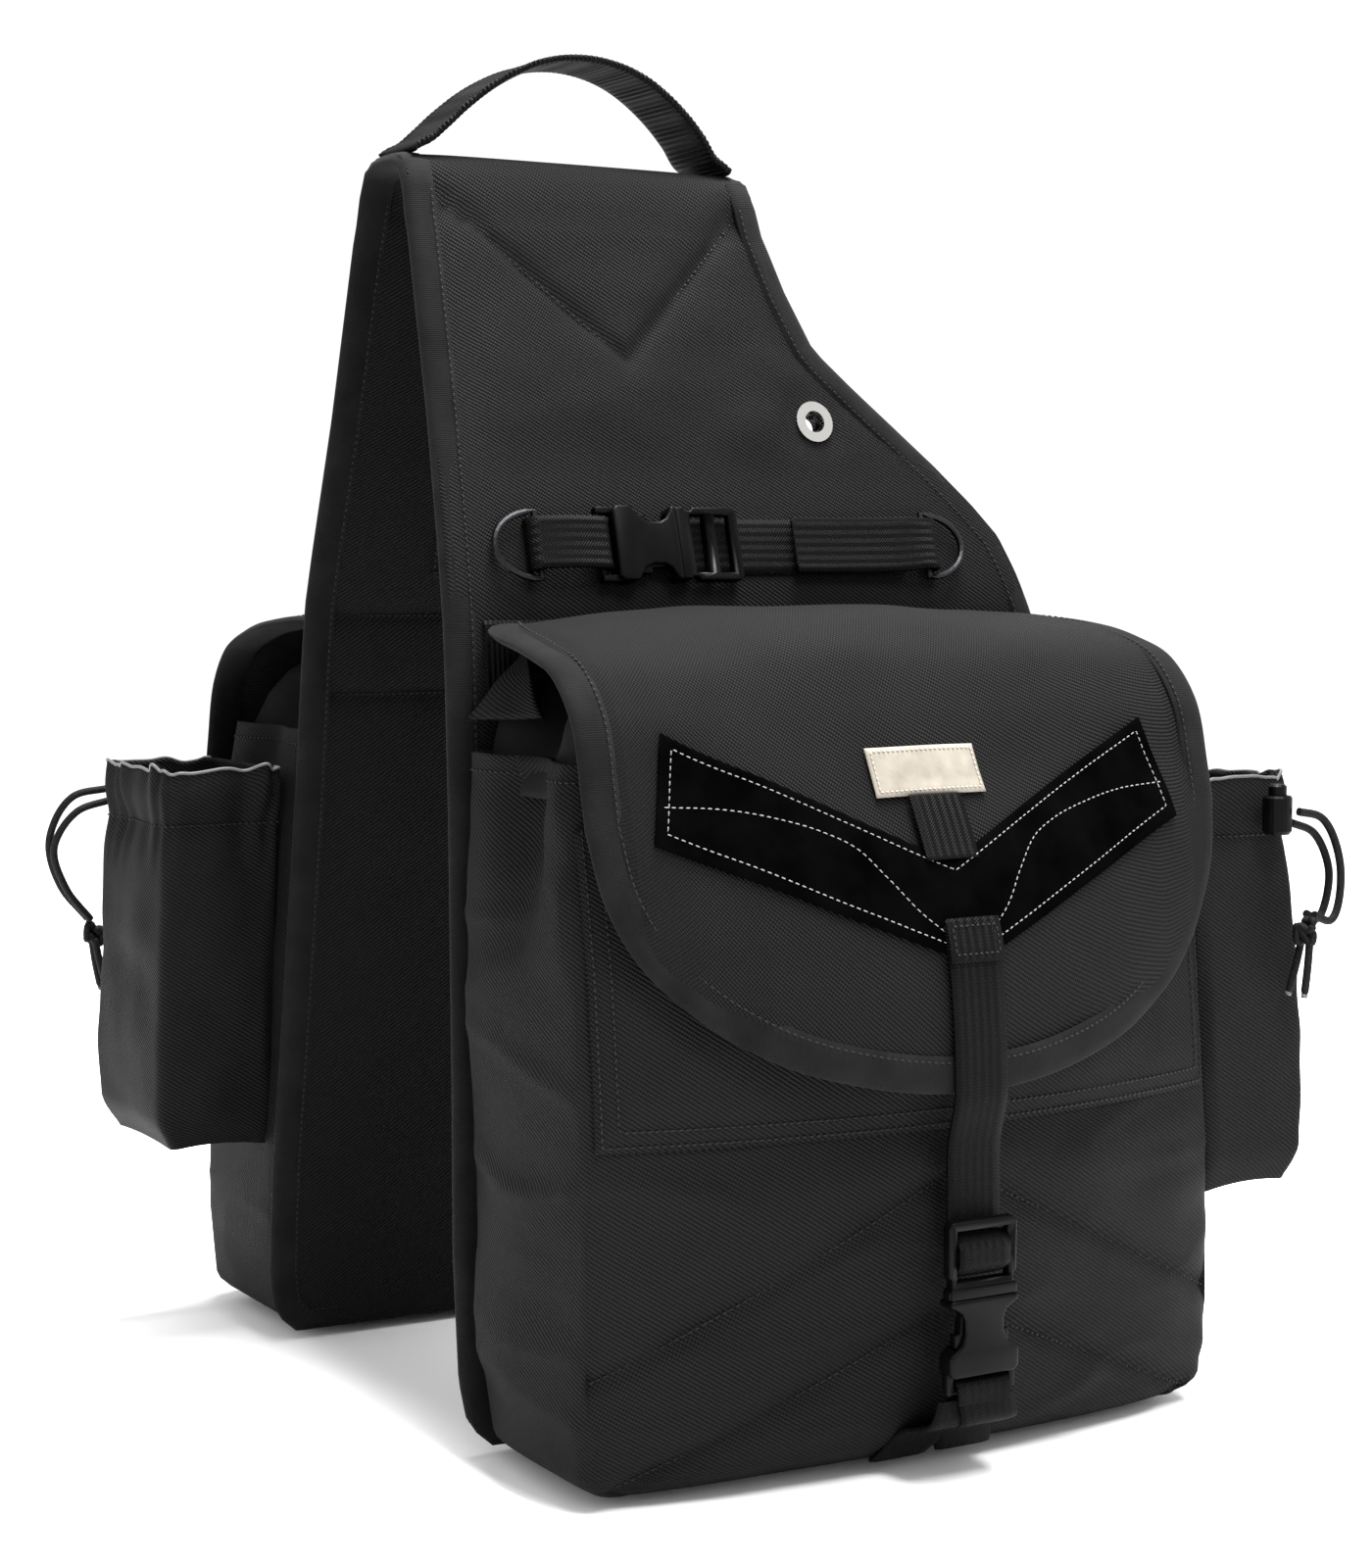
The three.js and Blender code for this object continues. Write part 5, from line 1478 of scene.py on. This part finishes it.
def carve(piece, x0, x1, y0, y1, z0, z1):
    """Cuts a box out of the piece."""
    tool = prism("tool", rectangle(x0, x1, z0, z1), y0, y1, 0)
    modify(piece, "BOOLEAN", object=tool, operation="DIFFERENCE", solver="EXACT")
    bpy.data.objects.remove(tool)


def join(pieces, name):
    select_only(pieces)
    bpy.ops.object.join()
    pieces[0].name = name
    return pieces[0]


def socket_shape(name):
    """Socket with its mouth at x 0, waisted sides and a bar for the webbing behind."""
    body = prism(name, both_sides(SOCKET_SIDE), -SOCKET_DEPTH, 0, 1.1)
    carve(body, -26, 1, -7.2, -1.8, -MOUTH_HALF, MOUTH_HALF)
    arms = [prism("arm", rectangle(BAR_END, -29, s * MOUTH_HALF, s * (MOUTH_HALF + 3)), -6.4, -2, 0.7)
            for s in (-1, 1)]
    bar = prism("bar", rectangle(BAR_END, BAR_END + 2.6, -16, 16), -5.4, -2.8, 0.8)
    return join([body, *arms, bar], name)


def clip_shape(name):
    """Clip with its shoulder at x 0, two slots for the webbing, two prongs and a guide."""
    plate = prism(name, both_sides(CLIP_SIDE), -7.4, -2.2, 0.8)
    for x0, x1 in ((7, 15), (19, 27.5)):
        carve(plate, x0, x1, -20, 5, -13, 13)
    grip = prism("grip", rectangle(0, 4.6, -15.8, 15.8), -8.4, -2.0, 0.8)
    prongs = [prism("prong", [(x, s * z) for x, z in PRONG], -6.6, -2.4, 0.5) for s in (-1, 1)]
    guide = prism("guide", rectangle(-18, 1, -2, 2), -6, -3, 0.4)
    return join([plate, grip, guide, *prongs], name)


def on_strap(half):
    """Place of the yoke strap's buckle: its length along X, on the leaning panel."""
    return (half_turn(half) @ Matrix.Translation((0, float(panel_y(STRAP_Z)) * MM, STRAP_Z * MM))
            @ Matrix.Rotation(-TILT, 4, "X") @ Matrix.Translation((STRAP_MOUTH_X * MM, -0.2 * MM, 0)))


def on_closure(half):
    """Place of the closure's buckle: its length upright."""
    return (half_turn(half) @ Matrix.Translation((0, BUCKLE_Y * MM, CLOSURE_MOUTH_Z * MM))
            @ Matrix.Rotation(-math.pi / 2, 4, "Y"))


def half_turn(half):
    return Matrix.Rotation(math.pi if half == "rear" else 0, 4, "Z")


def make_buckles(half):
    """Both side-release buckles, whose clips ride on their own bodies."""
    for kind, place, clip_body in (("yoke_buckle", on_strap(half), "_yoke_clip"),
                                   ("closure", on_closure(half), "_closure_clip")):
        socket = socket_shape(half + "_" + kind + "_socket_body")
        clip = clip_shape(half + "_" + kind + "_clip_body")
        for piece in (socket, clip):
            piece.matrix_world = place
        attach(socket, half + "_half", "black_plastic", half + "_" + kind + "_socket")
        attach(clip, half + clip_body, "black_plastic", half + "_" + kind + "_clip")


# ---------- cord locks, rings and eyelets keep their CAD shapes ----------

CAD_FINISHES = {
    "plastic": ("cord_lock", "cord_lock_button"),
    "gunmetal": ("left_d_ring", "right_d_ring"),
    "nickel": ("eyelet",),
}


def finish_hardware():
    for half in HALVES:
        for finish, names in CAD_FINISHES.items():
            for name in names:
                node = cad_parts[half + "_" + name]
                node.data.materials.clear()
                node.data.materials.append(MATERIALS[finish])


# ---------- scene ----------

make_materials()
make_camera()
make_cords()
make_studio()
make_yoke()
make_handle()
for half, seed in (("front", 1), ("rear", 31)):
    make_band(half)
    make_yoke_strap(half)
    make_bag(half, seed)
    make_collar(half, seed)
    make_patch_pocket(half, seed)
    make_flap(half)
    make_chevron(half)
    make_label(half)
    make_closure(half)
    make_lower_strap(half)
    make_bottle_pocket(half, seed)
    make_buckles(half)
finish_hardware()
